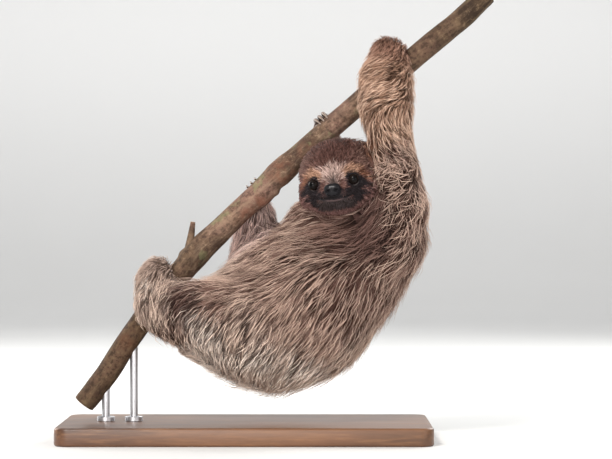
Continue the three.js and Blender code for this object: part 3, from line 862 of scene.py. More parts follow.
def floorLook(base, place):
    cloud = base.noise(place, 3, 2)
    height = base.node("ShaderNodeSeparateXYZ", {}, {0: place}, 2)
    colour = base.mix(cloud, (0.66, 0.66, 0.655, 1), (0.70, 0.70, 0.695, 1))
    colour = base.mix(height.steps(0.0, 0.8), colour, (0.90, 0.90, 0.895, 1))
    return {"Base Color": colour, "Roughness": 0.7 + cloud * 0.1}


# Each material's look, and the shader values that stay the same all over it.
finishes = {
    "coatHair": (coatLook, {"Specular IOR Level": 0.14}),
    "hide": (hideLook, {"Specular IOR Level": 0.16}),
    "noseLeather": (noseLook, {"Coat Roughness": 0.10, "Specular IOR Level": 0.10}),
    "eyeBall": (
        eyeLook,
        {"Coat Weight": 0.26, "Coat Roughness": 0.04, "Coat IOR": 1.34, "Specular IOR Level": 0.03},
    ),
    "clawHorn": (clawLook, {"Specular IOR Level": 0.45}),
    "bark": (barkLook, {"Specular IOR Level": 0.25}),
    "oiledWood": (woodLook, {"Coat Roughness": 0.28, "Specular IOR Level": 0.4}),
    "brushedSteel": (steelLook, {"Metallic": 1.0}),
    "paleFloor": (floorLook, {"Specular IOR Level": 0.2}),
}
materials = {name: makeMaterial(name, look, fixed) for name, (look, fixed) in finishes.items()}
print("finishes ready")

# Stage and light
stageSize = {"half": 5.5, "back": 4.7, "rise": 5.0, "bend": 1.5}
lightAim = (0.03, 0, 0.2)
lights = [
    {"name": "key", "at": (-0.8, -1.7, 1.7), "size": 0.55, "power": 58, "tint": (1.0, 0.96, 0.92)},
    {"name": "fill", "at": (1.5, -1.7, 0.7), "size": 1.4, "power": 14, "tint": (1.0, 0.98, 0.96)},
    {"name": "low", "at": (-0.3, -1.9, 0.10), "size": 1.0, "power": 27, "tint": (1.0, 0.97, 0.94)},
    {"name": "rim", "at": (1.2, 1.3, 1.2), "size": 1.0, "power": 34, "tint": (1.0, 1.0, 0.98)},
    {"name": "wash", "at": (0, 1.9, 3.4), "to": (0, 4.7, 0.9), "size": 2.4, "power": 60, "tint": (1, 1, 1)},
    {"name": "back", "at": (-1.5, 1.2, 0.8), "size": 1.2, "power": 30, "tint": (1.0, 1.0, 0.98)},
]
skyLight = {"colour": (0.92, 0.93, 0.94, 1), "strength": 0.36}


def makeStage():
    bpy.ops.mesh.primitive_plane_add(size=2 * stageSize["half"], location=(0, 0, 0))
    floor = bpy.context.object
    move = {"value": (0, 0, stageSize["rise"])}
    rise = (bpy.ops.mesh.extrude_region_move, {"TRANSFORM_OT_translate": move})
    back = [all(floor.data.vertices[i].co.y > 0 for i in edge.vertices) for edge in floor.data.edges]
    edit(floor, rise, picked=back, kind="EDGE")
    place = points(floor)
    place[:, 1] = np.where(place[:, 1] > 0, stageSize["back"], place[:, 1])
    setPoints(floor, place)
    applyModifier(floor, "BEVEL", width=stageSize["bend"], segments=16, limit_method="ANGLE")
    floor.name = "floor"
    floor.data.materials.append(materials["paleFloor"])
    alone(floor)
    bpy.ops.object.shade_smooth()


def makeLights():
    for light in lights:
        bpy.ops.object.light_add(type="AREA", location=light["at"])
        lamp = bpy.context.object
        lamp.name = light["name"]
        lamp.data.size = light["size"]
        lamp.data.energy = light["power"]
        lamp.data.color = light["tint"]
        way = Vector(light.get("to", lightAim)) - Vector(light["at"])
        lamp.rotation_euler = way.to_track_quat("-Z", "Y").to_euler()
    world = bpy.data.worlds.new("sky")
    world.use_nodes = True
    background = world.node_tree.nodes["Background"]
    background.inputs["Color"].default_value = skyLight["colour"]
    background.inputs["Strength"].default_value = skyLight["strength"]
    bpy.context.scene.world = world
    bpy.context.scene.view_settings.view_transform = "Standard"


makeStage()
makeLights()
print("stage lit")

# Skin
fleshNodes = [
    "head", "muzzle", "neck", "chest", "belly", "rump", "tail",
    "upper_arm_left", "forearm_left", "hand_left", "upper_arm_right", "forearm_right", "hand_right",
    "thigh_left", "shank_left", "foot_left", "thigh_right", "shank_right", "foot_right",
]
# The face is cut finer and settled again: the box of the head's frame that it lies in is half its width,
# its back, its foot and its top.
skinForm = {"swell": 1.3, "voxel": 3.0, "faceCuts": 3, "passes": 10, "facePasses": 8, "faceFrom": 12}
faceSettle = {"detailed": True, "step": 0.15, "most": 1.2}
faceBox = (42, 8, -44, 26)
# Where the skin is bare: the distances from eye, lips and nose over which it turns to hair, and the pale
# middle of the lower lip.
bareSkin = {
    "eyes": (7.4, 9.2),
    "lips": (1.4, 3.2),
    "front": (20, 26),
    "nose": (0.6, 2.2),
    "lowerLip": {"drop": 2.2, "fade": (0.7, 1.6), "sides": (6, 11)},
    # The last entry is a painted highlight on the edge of each lower lid: its radius from the eye, its width,
    # the height below the eye over which it comes in, and its share.
    "lidEdgeHighlight": {"radius": 5.7, "width": 0.55, "below": (0.5, 3.5), "share": 0.6},
}


def makeSkin():
    flesh = [looseCopy(cadNodes[name]) for name in fleshNodes]
    skin = joined(flesh, flesh[-1])
    edit(skin, (bpy.ops.mesh.remove_doubles, {"threshold": 1e-5}))
    applyModifier(skin, "DISPLACE", strength=skinForm["swell"] * mm, mid_level=0)
    applyModifier(skin, "REMESH", mode="VOXEL", voxel_size=skinForm["voxel"] * mm)
    setPoints(skin, settle(points(skin) / mm, skinForm["passes"]) * mm)
    info = measure(faceCentres(skin))
    onHead = (info["label"] == len(chainNames)) & (info["head"] > 0.5)
    face = onHead & (info["q"][:, 1] > skinForm["faceFrom"])
    edit(skin, (bpy.ops.mesh.subdivide, {"number_cuts": skinForm["faceCuts"]}), picked=face)
    place = points(skin) / mm
    x, y, z = intoHead(place).T
    half, back, low, high = faceBox
    close = (y > back) & (np.abs(x) < half) & (z < high) & (z > low)
    place[close] = settle(place[close], skinForm["facePasses"], **faceSettle)
    setPoints(skin, place * mm)
    return skin


# A painted highlight on the edge of each lower lid: a light grey crescent where the wet lid margin would
# catch the light.
def lidEdgeHighlight(q):
    edge = bareSkin["lidEdgeHighlight"]
    rim = np.exp(-(((eyeDistance(q) - edge["radius"]) / edge["width"]) ** 2))
    return edge["share"] * rim * eased(eyeForm["at"][2] - q[:, 2], *edge["below"])


def dressSkin(skin):
    place = points(skin) / mm
    info = measure(place)
    q = info["q"]
    lids = 1 - eased(eyeDistance(q), *bareSkin["eyes"])
    lips = (1 - eased(mouthDistance(q), *bareSkin["lips"])) * eased(q[:, 1], *bareSkin["front"])
    pad = 1 - eased(noseDistance(q), *bareSkin["nose"])
    bare = np.maximum(np.maximum(lids, lips), pad)
    lip = bareSkin["lowerLip"]
    lower = 1 - eased(mouthDistance(q, lip["drop"]), *lip["fade"])
    lower = lower * (1 - eased(np.abs(q[:, 0]), *lip["sides"]))
    hide = between(np.array(palette["lid"]), palette["lip"], lower)
    tint = between(markings(place, info["head"]), hide, bare)
    # Painted highlight: a light grey crescent on the edge of each lower lid.
    tint = between(tint, palette["lidEdgeHighlight"], lidEdgeHighlight(q))
    setAttribute(skin, "marking", "FLOAT_COLOR", withAlpha(tint))
    setAttribute(skin, "bare", "FLOAT", bare)
    finishPiece(skin, "skin", "hide", fleshNodes)


skin = makeSkin()
dressSkin(skin)
print("skin made:", len(skin.data.polygons), "faces")

# Coat. Under hair lies deep and is dark, partly its own colour and partly painted shade in the gaps between
# locks; guard hair makes the coat, and crest hair is the pale top of it.
hairSorts = [
    {"share": 0.26, "width": 0.46, "height": (0.15, 0.60), "tone": (0.0, 0.30), "reach": 0.85, "rise": 1.7},
    {"share": 0.67, "width": 0.32, "height": (0.60, 1.02), "tone": (0.0, 0.86), "reach": 1.0, "rise": 2.0},
    {"share": 0.07, "width": 0.38, "height": (0.96, 1.20), "tone": (0.84, 1.0), "reach": 1.4, "rise": 3.0},
]
coatForm = {
    "density": {
        "coatFace": 2.6, "coatCrown": 1.4, "coatNeck": 0.9,
        "coatChestNear": 1.2, "coatBellyNear": 1.2, "coatRumpNear": 1.2,
        "coatChestFar": 0.6, "coatBellyFar": 0.6, "coatRumpFar": 0.5,
        "coatUpperArmNear": 0.84, "coatForearmNear": 1.0, "coatLegNear": 0.96,
        "coatArmFar": 0.8, "coatLegFar": 0.6, "coatTail": 0.65,
    },
    "clumpSpacing": 2.6,
    "tightClumps": {"Face": 1.3, "Crown": 1.4, "Arm": 1.9, "Forearm": 1.9, "Leg": 2.1},
    "clumpTone": 0.74,
    "streaks": 0.95,
    "streakSize": 8,
    "streakDraw": 0.66,
    "frost": 0.6,
    "frostRank": (0.66, 0.96),
    "frostTint": (0.06, 0.14),
    "headCalm": 0.6,
    "tousledTone": 0.04,
    "tousledContrast": 1.5,
    "sleekContrast": 0.45,
    "faceContrast": 0.62,
    "hangingLength": 0.55,
    "strays": 0.3,
    "strayEnd": 52,
    "strayShag": (0.25, 0.8),
    "shagHeight": 0.6,
    "markingDrift": {"curly": 4.0, "long": 4.0, "short": 0.8},
    "mostLocks": {"curly": 9600, "long": 16000, "short": 16000},
    "forearmFrom": 280,
    "seed": 11,
}
# How long locks are, and how far they swing, curl and gather: each clump alike, each strand by itself,
# and where tousled. A pair is the least and what a draw adds to it.
lockLie = {
    "sunk": 0.6,
    "clear": 1.0,
    "length": (0.75, 0.45),
    "clumpLength": (0.85, 0.3),
    "tousledLength": 0.3,
    "clumpHeight": (0.9, 0.16),
    "clumpSwing": 0.13,
    "tousledSwing": 0.5,
    "headSwing": 0.12,
    "sleekSwing": 0.5,
    "strandSwing": 0.07,
    "strandTousled": 0.16,
    "drift": 0.35,
    "driftSize": 26,
    "clumpCurl": 0.25,
    "tousledCurl": 0.9,
    "strandCurl": 0.35,
    "pull": (0.12, 0.56),
    "clumpPull": (0.6, 0.4),
    "tousledPull": 0.2,
    "gather": 1.3,
    "girth": (0.7, 0.6),
    "slim": (0.55, 60, 0.5, 1.0),
    "shortGirth": 1.2,
    "thinGirth": (0.8, 1.4),
    "jitter": 0.018,
    "flatness": 0.6,
    "patch": 0.003,
}
# Where the hair's way leads off the body: from and to, at most, and what that changes in a lock.
hanging = {
    "from": (0.6, 1.0),
    "most": 0.6,
    "stand": (0.25, 1.1),
    "flat": 0.6,
    "rise": 0.6,
    "aim": 0.25,
    "lift": 0.55,
    "steepest": 0.7,
    "past": 0.45,
    "fresh": (0.75, 0.5),
    "shortFrom": (0.45, 0.95),
}
# The head's hair: its length on the face, what the crown has more, and how short it gets near a feature.
headHair = {
    "face": 7.2,
    "crown": 11.3,
    "fade": (-26, 0),
    "nearEye": (0.40, 7, 14),
    "nearNose": (0.25, 1.5, 10),
    "nearLips": (0.35, 1.5, 8),
    "bareEye": 6.3,
    "bareNose": 0.9,
    "bareLips": 1.2,
    "mouthFront": 20,
}
# Places of the coat: where, how far and how much.
tousled = [
    ((147, -62, 270), 27, 1.0), ((152, -62, 240), 24, 0.9),
    ((144, -60, 304), 18, 0.5), ((162, -50, 214), 28, 0.6),
]
shaggy = [
    ((60, -20, 60), 34, 1), ((10, -10, 50), 40, 1), ((-50, -40, 92), 26, 1),
    ((-92, -40, 122), 18, 1), ((150, -40, 250), 30, 1),
]
sleek = [((144, -16, 392), 24, 1), ((-90, -16, 172), 20, 1), ((10, 60, 200), 40, 1)]
regions = {
    "neck": "coatNeck",
    "armRight": "coatArmFar",
    "legLeft": "coatLegNear",
    "legRight": "coatLegFar",
    "tail": "coatTail",
}
trunkParts = {"chest": 88, "belly": 30}


def nearness(p, places):
    best = np.zeros(len(p))
    for at, reach, amount in places:
        away = np.linalg.norm(p - np.array(at), axis=1)
        best = np.maximum(best, amount * np.exp(-((away / reach) ** 2)))
    return best


def regionNames(centres, info):
    names = []
    for (x, y, z), label, forward in zip(centres, info["label"], info["q"][:, 1]):
        chain = "head" if label == len(chainNames) else chainNames[label]
        if chain == "head":
            names.append("coatFace" if forward > skinForm["faceFrom"] else "coatCrown")
        elif chain == "trunk":
            part = "Chest" if x > trunkParts["chest"] else ("Belly" if x > trunkParts["belly"] else "Rump")
            names.append("coat" + part + ("Near" if y < 0 else "Far"))
        elif chain == "armLeft":
            names.append("coatForearmNear" if z > coatForm["forearmFrom"] else "coatUpperArmNear")
        else:
            names.append(regions[chain])
    return np.array(names)


# Locks: closed three-sided strands, each with its rings' share of the way along and their girth.
lockShapes = {
    "curly": {"along": (0.0, 0.36, 0.72, 1.0), "girth": (0.7, 1.0, 0.7, 0.0)},
    "long": {"along": (0.0, 0.52, 1.0), "girth": (0.8, 1.0, 0.0)},
    "short": {"along": (0.0, 0.55, 1.0), "girth": (0.8, 1.0, 0.0)},
}


def lockFaces(rings):
    faces = [(0, 2, 1)]
    shares = [(0.5, 0.0)] * 3
    for ring in range(rings - 2):
        for side in range(3):
            a, b = 3 * ring + side, 3 * ring + (side + 1) % 3
            faces += [(a, b, b + 3), (a, b + 3, a + 3)]
            low, high = ring / (rings - 1), (ring + 1) / (rings - 1)
            left, right = side / 3, (side + 1) / 3
            shares += [(left, low), (right, low), (right, high), (left, low), (right, high), (left, high)]
    last, tip = 3 * (rings - 2), 3 * (rings - 1)
    low = (rings - 2) / (rings - 1)
    for side in range(3):
        faces.append((last + side, last + (side + 1) % 3, tip))
        shares += [(side / 3, low), ((side + 1) / 3, low), ((side + 0.5) / 3, 1.0)]
    return np.array(faces), np.array(shares)


def rootsOn(area, count, rng):
    mesh = area.data
    mesh.calc_loop_triangles()
    corners = np.zeros(len(mesh.loop_triangles) * 3, dtype=int)
    loops = corners.copy()
    mesh.loop_triangles.foreach_get("vertices", corners)
    mesh.loop_triangles.foreach_get("loops", loops)
    corners, loops = corners.reshape(-1, 3), loops.reshape(-1, 3)
    uv = np.zeros(len(mesh.loops) * 2)
    mesh.uv_layers["OFBake"].data.foreach_get("uv", uv)
    uv = uv.reshape(-1, 2)
    place = points(area) / mm
    a, b, c = place[corners[:, 0]], place[corners[:, 1]], place[corners[:, 2]]
    size = np.linalg.norm(np.cross(b - a, c - a), axis=1) / 2
    total = size.sum()
    edges = np.cumsum(size) / total
    picks = np.searchsorted(edges, (np.arange(count) + rng.random(count)) / count).clip(0, len(size) - 1)
    u, v = rng.random((2, count))
    flip = u + v > 1
    u, v = np.where(flip, 1 - u, u)[:, None], np.where(flip, 1 - v, v)[:, None]
    root = a[picks] * (1 - u - v) + b[picks] * u + c[picks] * v
    spots = uv[loops[picks, 0]] * (1 - u - v) + uv[loops[picks, 1]] * u + uv[loops[picks, 2]] * v
    return root, spots


def areaOf(thing):
    return sum(face.area for face in thing.data.polygons) / mm**2


def turnAbout(v, axis, angle):
    c, s = np.cos(angle)[:, None], np.sin(angle)[:, None]
    return v * c + np.cross(axis, v) * s + axis * (axis * v).sum(1)[:, None] * (1 - c)


def alongSkin(way, out):
    return unit(way - (way * out).sum(1)[:, None] * out + 1e-6)


# Pushes points out of the branch.
def clearBranch(p, probe=0.3):
    away = branchDistance(p)
    tight = away < lockLie["clear"]
    if not tight.any():
        return p
    shove = np.zeros_like(p)
    for axis in range(3):
        moved = p[tight].copy()
        moved[:, axis] += probe
        shove[tight, axis] = (branchDistance(moved) - away[tight]) / probe
    return p + unit(shove + 1e-9) * np.where(tight, lockLie["clear"] - away, 0)[:, None]


# Each lock leaves the skin, rises to its own height in the coat and follows the lie of the hair there.
# Where the hair's way leads off the body, it hangs.
def growPaths(root, shape, traits):
    info = measure(root)
    out = unit(slopeOf(root)[1])
    way = combAt(root, info["head"], info["q"])
    flat = turnAbout(alongSkin(way, out), out, traits["swing"])
    hang = eased((way * out).sum(1), *hanging["from"]) * hanging["most"]
    stand = hanging["stand"][0] + hanging["stand"][1] * hang
    here = root - lockLie["sunk"] * out
    paths = [here]
    direction = unit(flat * (1 - hanging["flat"] * hang)[:, None] + out * (stand * hanging["rise"])[:, None])
    for before, now in zip(shape["along"], shape["along"][1:]):
        step = (now - before) * traits["length"]
        here = here + direction * step[:, None]
        info = measure(here)
        out = unit(slopeOf(here)[1])
        span = np.maximum(info["skin"] - info["coat"], 1.0)
        aim = traits["height"] * (1 - (1 - now) ** traits["rise"]) * (1 + hanging["aim"] * hang)
        lift = (aim - info["skin"] / span) * span * (1 - hanging["lift"] * hang)
        most = hanging["steepest"] * step
        lift = np.clip(lift, -most, most) * (1 - traits["free"])
        here = clearBranch(here + out * lift[:, None])
        paths.append(here)
        way = combAt(here, info["head"], info["q"])
        fresh = turnAbout(alongSkin(way, out), out, traits["swing"] + traits["curl"] * now)
        past = unit(here - paths[-2]) * hanging["past"]
        least, less = hanging["fresh"]
        direction = unit(past + fresh * (least - less * hang)[:, None] + way * (less * hang)[:, None])
    return np.array(paths)


# The head's hair gets short toward each feature, and none grows on it.
def headLengths(q, featured):
    length = headHair["face"] + headHair["crown"] * eased(-q[:, 1], *headHair["fade"])
    if not featured:
        return length, np.ones(len(q), dtype=bool)
    eyes, nose, lips = eyeDistance(q), noseDistance(q), mouthDistance(q)
    for away, near in ((eyes, "nearEye"), (nose, "nearNose"), (lips, "nearLips")):
        least, start, full = headHair[near]
        length = length * (least + (1 - least) * eased(away, start, full))
    mouth = (lips > headHair["bareLips"]) | (q[:, 1] < headHair["mouthFront"])
    return length, (eyes > headHair["bareEye"]) & (nose > headHair["bareNose"]) & mouth


# The locks that lead a clump, and the clump that each lock is in.
def gatherClumps(root, name, density, rng):
    tight = [size for part, size in coatForm["tightClumps"].items() if part in name]
    spacing = min(tight, default=coatForm["clumpSpacing"])
    leading = rng.random(len(root)) < 1 / (spacing**2 * density)
    leading[0] = True
    leads = np.flatnonzero(leading)
    tree = KDTree(len(leads))
    for spot, index in enumerate(leads):
        tree.insert(root[index], spot)
    tree.balance()
    return leads, np.array([tree.find(place)[1] for place in root])


def drawn(pair, draw):
    return pair[0] + pair[1] * draw


def noiseAt(places, size):
    return np.array([noise.noise(Vector(place / size)) for place in places])


def growCoat(area, name, kind, density, rng):
    count = int(min(areaOf(area) * density, coatForm["mostLocks"][kind]))
    root, spots = rootsOn(area, count, rng)
    shape = lockShapes[kind]
    info = measure(root)
    share = eased(info["head"], *headMix["hair"])
    headLength, keep = headLengths(info["q"], kind == "short")
    length = info["length"] * (1 - share) + headLength * share
    way = combAt(root, info["head"], info["q"])
    hang = eased((way * unit(slopeOf(root)[1])).sum(1), *hanging["shortFrom"])
    length = length * (1 - (1 - coatForm["hangingLength"]) * hang)
    leads, clump = gatherClumps(root, name, density, rng)
    many = len(leads)
    sort = rng.choice(len(hairSorts), count, p=[s["share"] for s in hairSorts])
    hair = {key: np.array([s[key] for s in hairSorts])[sort] for key in hairSorts[0]}
    low, high = hair["height"].T
    dark, light = hair["tone"].T
    ruffle, smooth, loose = (nearness(root, places) for places in (tousled, sleek, shaggy))

    # Length, swing, curl and height of each lock
    traits = {"rise": hair["rise"]}
    traits["length"] = length * hair["reach"] * drawn(lockLie["length"], rng.random(count))
    traits["length"] *= 1 - lockLie["tousledLength"] * ruffle
    traits["length"] *= drawn(lockLie["clumpLength"], rng.random(many)[clump])
    swing = lockLie["clumpSwing"] + lockLie["tousledSwing"] * ruffle + lockLie["headSwing"] * share
    swing = swing * (1 - lockLie["sleekSwing"] * smooth) * rng.normal(0, 1, many)[clump]
    swing = swing + (lockLie["strandSwing"] + lockLie["strandTousled"] * ruffle) * rng.normal(0, 1, count)
    traits["swing"] = swing + lockLie["drift"] * noiseAt(root, lockLie["driftSize"])
    stray = rng.random(count) < coatForm["strays"] * (root[:, 0] < coatForm["strayEnd"])
    traits["free"] = stray * eased(loose, *coatForm["strayShag"]) * hang
    curl = (lockLie["clumpCurl"] + lockLie["tousledCurl"] * ruffle) * rng.normal(0, 1, many)[clump]
    traits["curl"] = curl + lockLie["strandCurl"] * ruffle * rng.normal(0, 1, count)
    traits["height"] = drawn((low, high - low), rng.random(count))
    traits["height"] *= drawn(lockLie["clumpHeight"], rng.random(many)[clump])
    traits["height"] *= 1 + coatForm["shagHeight"] * loose * rng.random(count) ** 3
    paths = growPaths(root, shape, traits)

    # Toward its clump's lead, each lock is drawn more and more along its length.
    pull = drawn(lockLie["pull"], rng.random(count)) * drawn(lockLie["clumpPull"], rng.random(many)[clump])
    pull = pull * (1 - lockLie["tousledPull"] * ruffle)
    for ring, along in enumerate(shape["along"]):
        gather = (pull * along ** lockLie["gather"])[:, None]
        paths[ring] = paths[ring] + gather * (paths[ring][leads[clump]] - paths[ring])
        jitter = (lockLie["jitter"] * length * along)[:, None]
        paths[ring] = paths[ring] + rng.normal(0, 1, (count, 3)) * jitter
    start, full, least, most = lockLie["slim"]
    slim = np.clip(start + length / full, least, most)
    width = hair["width"] * drawn(lockLie["girth"], rng.random(count)) * slim
    thin = np.clip(density**-0.5, *lockLie["thinGirth"])
    width = width * (lockLie["shortGirth"] if kind == "short" else thin)

    # Shade and colour
    shade = coatForm["clumpTone"] * rng.random(many)[clump] + (1 - coatForm["clumpTone"]) * rng.random(count)
    calm = 1 - coatForm["headCalm"] * share
    streaked = root - coatForm["streakDraw"] * way * (root * way).sum(1)[:, None]
    streak = coatForm["streaks"] * noiseAt(streaked, coatForm["streakSize"]) * calm
    shade = np.clip(shade + streak + coatForm["tousledTone"] * ruffle, 0, 1)
    rank = dark + (light - dark) * shade
    # Where the coat is tousled, the strands' tones are spread apart: the dark ones are partly painted shade
    # in the gaps between crossing locks.
    contrast = 1 + coatForm["tousledContrast"] * ruffle
    rank = np.clip(0.5 + (rank - 0.5) * contrast * (1 - coatForm["sleekContrast"] * smooth), 0, 1)
    rank = rank + (0.5 - rank) * (1 - coatForm["faceContrast"]) * share
    dyed = (2 * paths[1] + root) / 3 + rng.normal(0, coatForm["markingDrift"][kind], (count, 3))
    tint = markings(dyed, info["head"], rng.normal(0, 1, count))
    frost = coatForm["frost"] * eased(rank, *coatForm["frostRank"])
    frost = frost * eased(tint.mean(1), *coatForm["frostTint"]) * calm
    tint = between(tint, palette["frost"], frost)
    return makeLocks(name, shape, paths[:, keep], *(kept[keep] for kept in (width, spots, rank, tint, root)))


def makeLocks(name, shape, paths, width, spots, rank, tint, root):
    rings, count = paths.shape[:2]
    faces, shares = lockFaces(rings)
    tangent = np.gradient(paths, axis=0)
    tangent = tangent / np.maximum(np.linalg.norm(tangent, axis=2), 1e-9)[..., None]
    out = unit(slopeOf(root)[1])
    corners = []
    for ring in range(rings - 1):
        side = unit(np.cross(tangent[ring], out) + 1e-9)
        top = np.cross(side, tangent[ring])
        for turn in range(3):
            angle = math.radians(90 + 120 * turn)
            girth = (width * shape["girth"][ring])[:, None]
            across, up = math.cos(angle), math.sin(angle)
            corners.append(paths[ring] + side * girth * across + top * girth * lockLie["flatness"] * up)
    corners.append(paths[-1])
    corners = np.stack(corners, axis=1)
    each = corners.shape[1]
    mesh = bpy.data.meshes.new(name)
    allFaces = (faces[None] + (np.arange(count) * each)[:, None, None]).reshape(-1, 3)
    mesh.vertices.add(count * each)
    mesh.vertices.foreach_set("co", (corners * mm).ravel())
    mesh.loops.add(allFaces.size)
    mesh.loops.foreach_set("vertex_index", allFaces.ravel().astype(np.int32))
    mesh.polygons.add(len(allFaces))
    mesh.polygons.foreach_set("loop_start", np.arange(len(allFaces), dtype=np.int32) * 3)
    mesh.update(calc_edges=True)
    bake = mesh.uv_layers.new(name="OFBake")
    patch = (shares - 0.5) * lockLie["patch"]
    bake.data.foreach_set("uv", (spots[:, None, :] + patch[None]).clip(0, 1).ravel())
    coat = bpy.data.objects.new(name, mesh)
    bpy.context.collection.objects.link(coat)
    along = np.append(np.repeat(shape["along"][:-1], 3), 1.0)
    setAttribute(coat, "marking", "FLOAT_COLOR", np.repeat(withAlpha(tint), each, axis=0))
    setAttribute(coat, "along", "FLOAT", np.tile(along, count))
    setAttribute(coat, "strand", "FLOAT", np.repeat(rank, each))
    return coat


def makeCoat():
    rng = np.random.default_rng(coatForm["seed"])
    centres = faceCentres(skin)
    names = regionNames(centres, measure(centres))
    total = 0
    for name in sorted(set(names)):
        area = looseCopy(skin)
        edit(
            area,
            (bpy.ops.mesh.delete, {"type": "FACE"}),
            (bpy.ops.mesh.select_all, {"action": "SELECT"}),
            (bpy.ops.uv.smart_project, {"angle_limit": math.radians(66), "island_margin": 0.004}),
            picked=names != name,
        )
        area.data.uv_layers[0].name = "OFBake"
        kind = {"coatFace": "short", "coatCrown": "short", "coatUpperArmNear": "curly"}.get(name, "long")
        coat = growCoat(area, name, kind, coatForm["density"][name], rng)
        bpy.data.objects.remove(area)
        finishPiece(coat, name, "coatHair")
        total += len(coat.data.polygons)
        print(" ", name, len(coat.data.polygons))
    print("coat grown:", total, "triangles")


makeCoat()

# Eyes and nose
eyeDetail = {"segments": 40, "rings": 28, "cornea": 0.2, "corneaFade": (0.45, 0.95), "gazeAngle": 62}
noseDetail = {"segments": 96, "rings": 64, "square": 2.5, "flare": 0.14, "flat": 0.9, "grooveTop": 0.5}
nostrilForm = {
    "at": (4.1, -0.9),
    "hole": {"lean": 0.35, "half": (1.9, 1.35), "depth": 2.6},
    "slit": {"at": (2.4, -1.0), "lean": 0.25, "half": (1.6, 0.6), "depth": 1.4},
    "rim": {"half": (3.1, 2.5), "width": 0.30, "height": 0.15},
    "groove": (0.5, 0.45),
}


def placeInHead(thing, at):
    setPoints(thing, outOfHead(points(thing) / mm + np.array(at)) * mm)


def makeEye(name, side, node):
    segments, rings, radius = eyeDetail["segments"], eyeDetail["rings"], eyeForm["radius"]
    bpy.ops.mesh.primitive_uv_sphere_add(segments=segments, ring_count=rings, radius=radius * mm)
    eye = bpy.context.object
    place = points(eye)
    at, axis = eyeFrame(side)
    spin = np.array(Vector((0, 0, 1)).rotation_difference(Vector(axis)).to_matrix())
    facing = place[:, 2] / (radius * mm)
    gaze = np.arccos(np.clip(facing, -1, 1)) / math.radians(eyeDetail["gazeAngle"])
    swell = 1 + eyeDetail["cornea"] / radius * (1 - eased(gaze, *eyeDetail["corneaFade"]))
    setPoints(eye, (place * swell[:, None]) @ spin.T)
    placeInHead(eye, at)
    setAttribute(eye, "gaze", "FLOAT", gaze)
    finishPiece(eye, name, "eyeBall", [node])


# A ball squared off a little, with a groove down the middle and two nostrils that run out to the side.
def makeNose():
    segments, rings, power = noseDetail["segments"], noseDetail["rings"], noseDetail["square"]
    bpy.ops.mesh.primitive_uv_sphere_add(segments=segments, ring_count=rings, radius=1.0 * mm)
    nose = bpy.context.object
    x, y, z = (points(nose) / mm).T
    square = (np.abs(x) ** power + np.abs(y) ** power + np.abs(z) ** power) ** (1 / power)
    x, y, z = x / square, y / square, z / square
    wide, deep, tall = noseForm["radii"]
    px, py, pz = x * wide * (1 + noseDetail["flare"] * z), y * deep * noseDetail["flat"], z * tall
    hole, slit, rim = (nostrilForm[part] for part in ("hole", "slit", "rim"))
    depth, half = nostrilForm["groove"]
    dent = depth * np.exp(-((px / half) ** 2)) * (pz < noseDetail["grooveTop"])
    for side in (1, -1):
        over, up = side * px - nostrilForm["at"][0], pz - nostrilForm["at"][1]
        pit = np.hypot((over + hole["lean"] * up) / hole["half"][0], up / hole["half"][1])
        dent += hole["depth"] * np.exp(-(pit**3))
        low = up - slit["at"][1] + slit["lean"] * over
        cut = np.hypot((over - slit["at"][0]) / slit["half"][0], low / slit["half"][1])
        dent += slit["depth"] * np.exp(-(cut**2))
        edge = np.hypot(over / rim["half"][0], up / rim["half"][1])
        dent -= rim["height"] * np.exp(-(((edge - 1) / rim["width"]) ** 2))
    py = py - np.where(y > 0, dent, 0)
    setPoints(nose, np.column_stack([px, py, pz]) * mm)
    placeInHead(nose, noseForm["at"])
    finishPiece(nose, "nosePad", "noseLeather", ["nose"])


makeEye("eyeRight", 1, "eye_right")
makeEye("eyeLeft", -1, "eye_left")
makeNose()
print("eyes and nose made")

# Claws. Each grip is round the branch at x: how far apart and how thick its claws are, the angles round
# the branch that they run between, and their distance from its middle there.
clawForm = {"rings": 26, "sides": 14, "tip": 0.35, "keel": 0.16, "close": 0.12, "hook": 0.8, "taper": 1.3}
grips = [
    {"name": "hand_left", "x": 143, "spread": 9.5, "root": 3.2, "from": 98, "to": 262, "reach": (20, 13.6)},
    {"name": "hand_right", "x": 84, "spread": 5.2, "root": 2.3, "from": 132, "to": 46, "reach": (19, 12.6)},
    {"name": "foot_left", "x": -88, "spread": 8, "root": 3, "from": 100, "to": 250, "reach": (19, 13.8)},
    {"name": "foot_right", "x": 14, "spread": 6, "root": 2.5, "from": 190, "to": 78, "reach": (17.5, 12.8)},
]


def branchFrame(x):
    i = int(np.argmax(branchRow[:, 0] > x))
    a, b = branchRow[i - 1], branchRow[i]
    t = (x - a[0]) / (b[0] - a[0])
    along = (b - a)[:3] / np.linalg.norm((b - a)[:3])
    front = np.array([0.0, -1.0, 0.0])
    top = np.cross(along, front)
    top = top / np.linalg.norm(top)
    return (a + t * (b - a))[:3], along, front, top if top[2] > 0 else -top


def clawRound(angles, t):
    return 1 + clawForm["keel"] * np.cos(2 * angles)


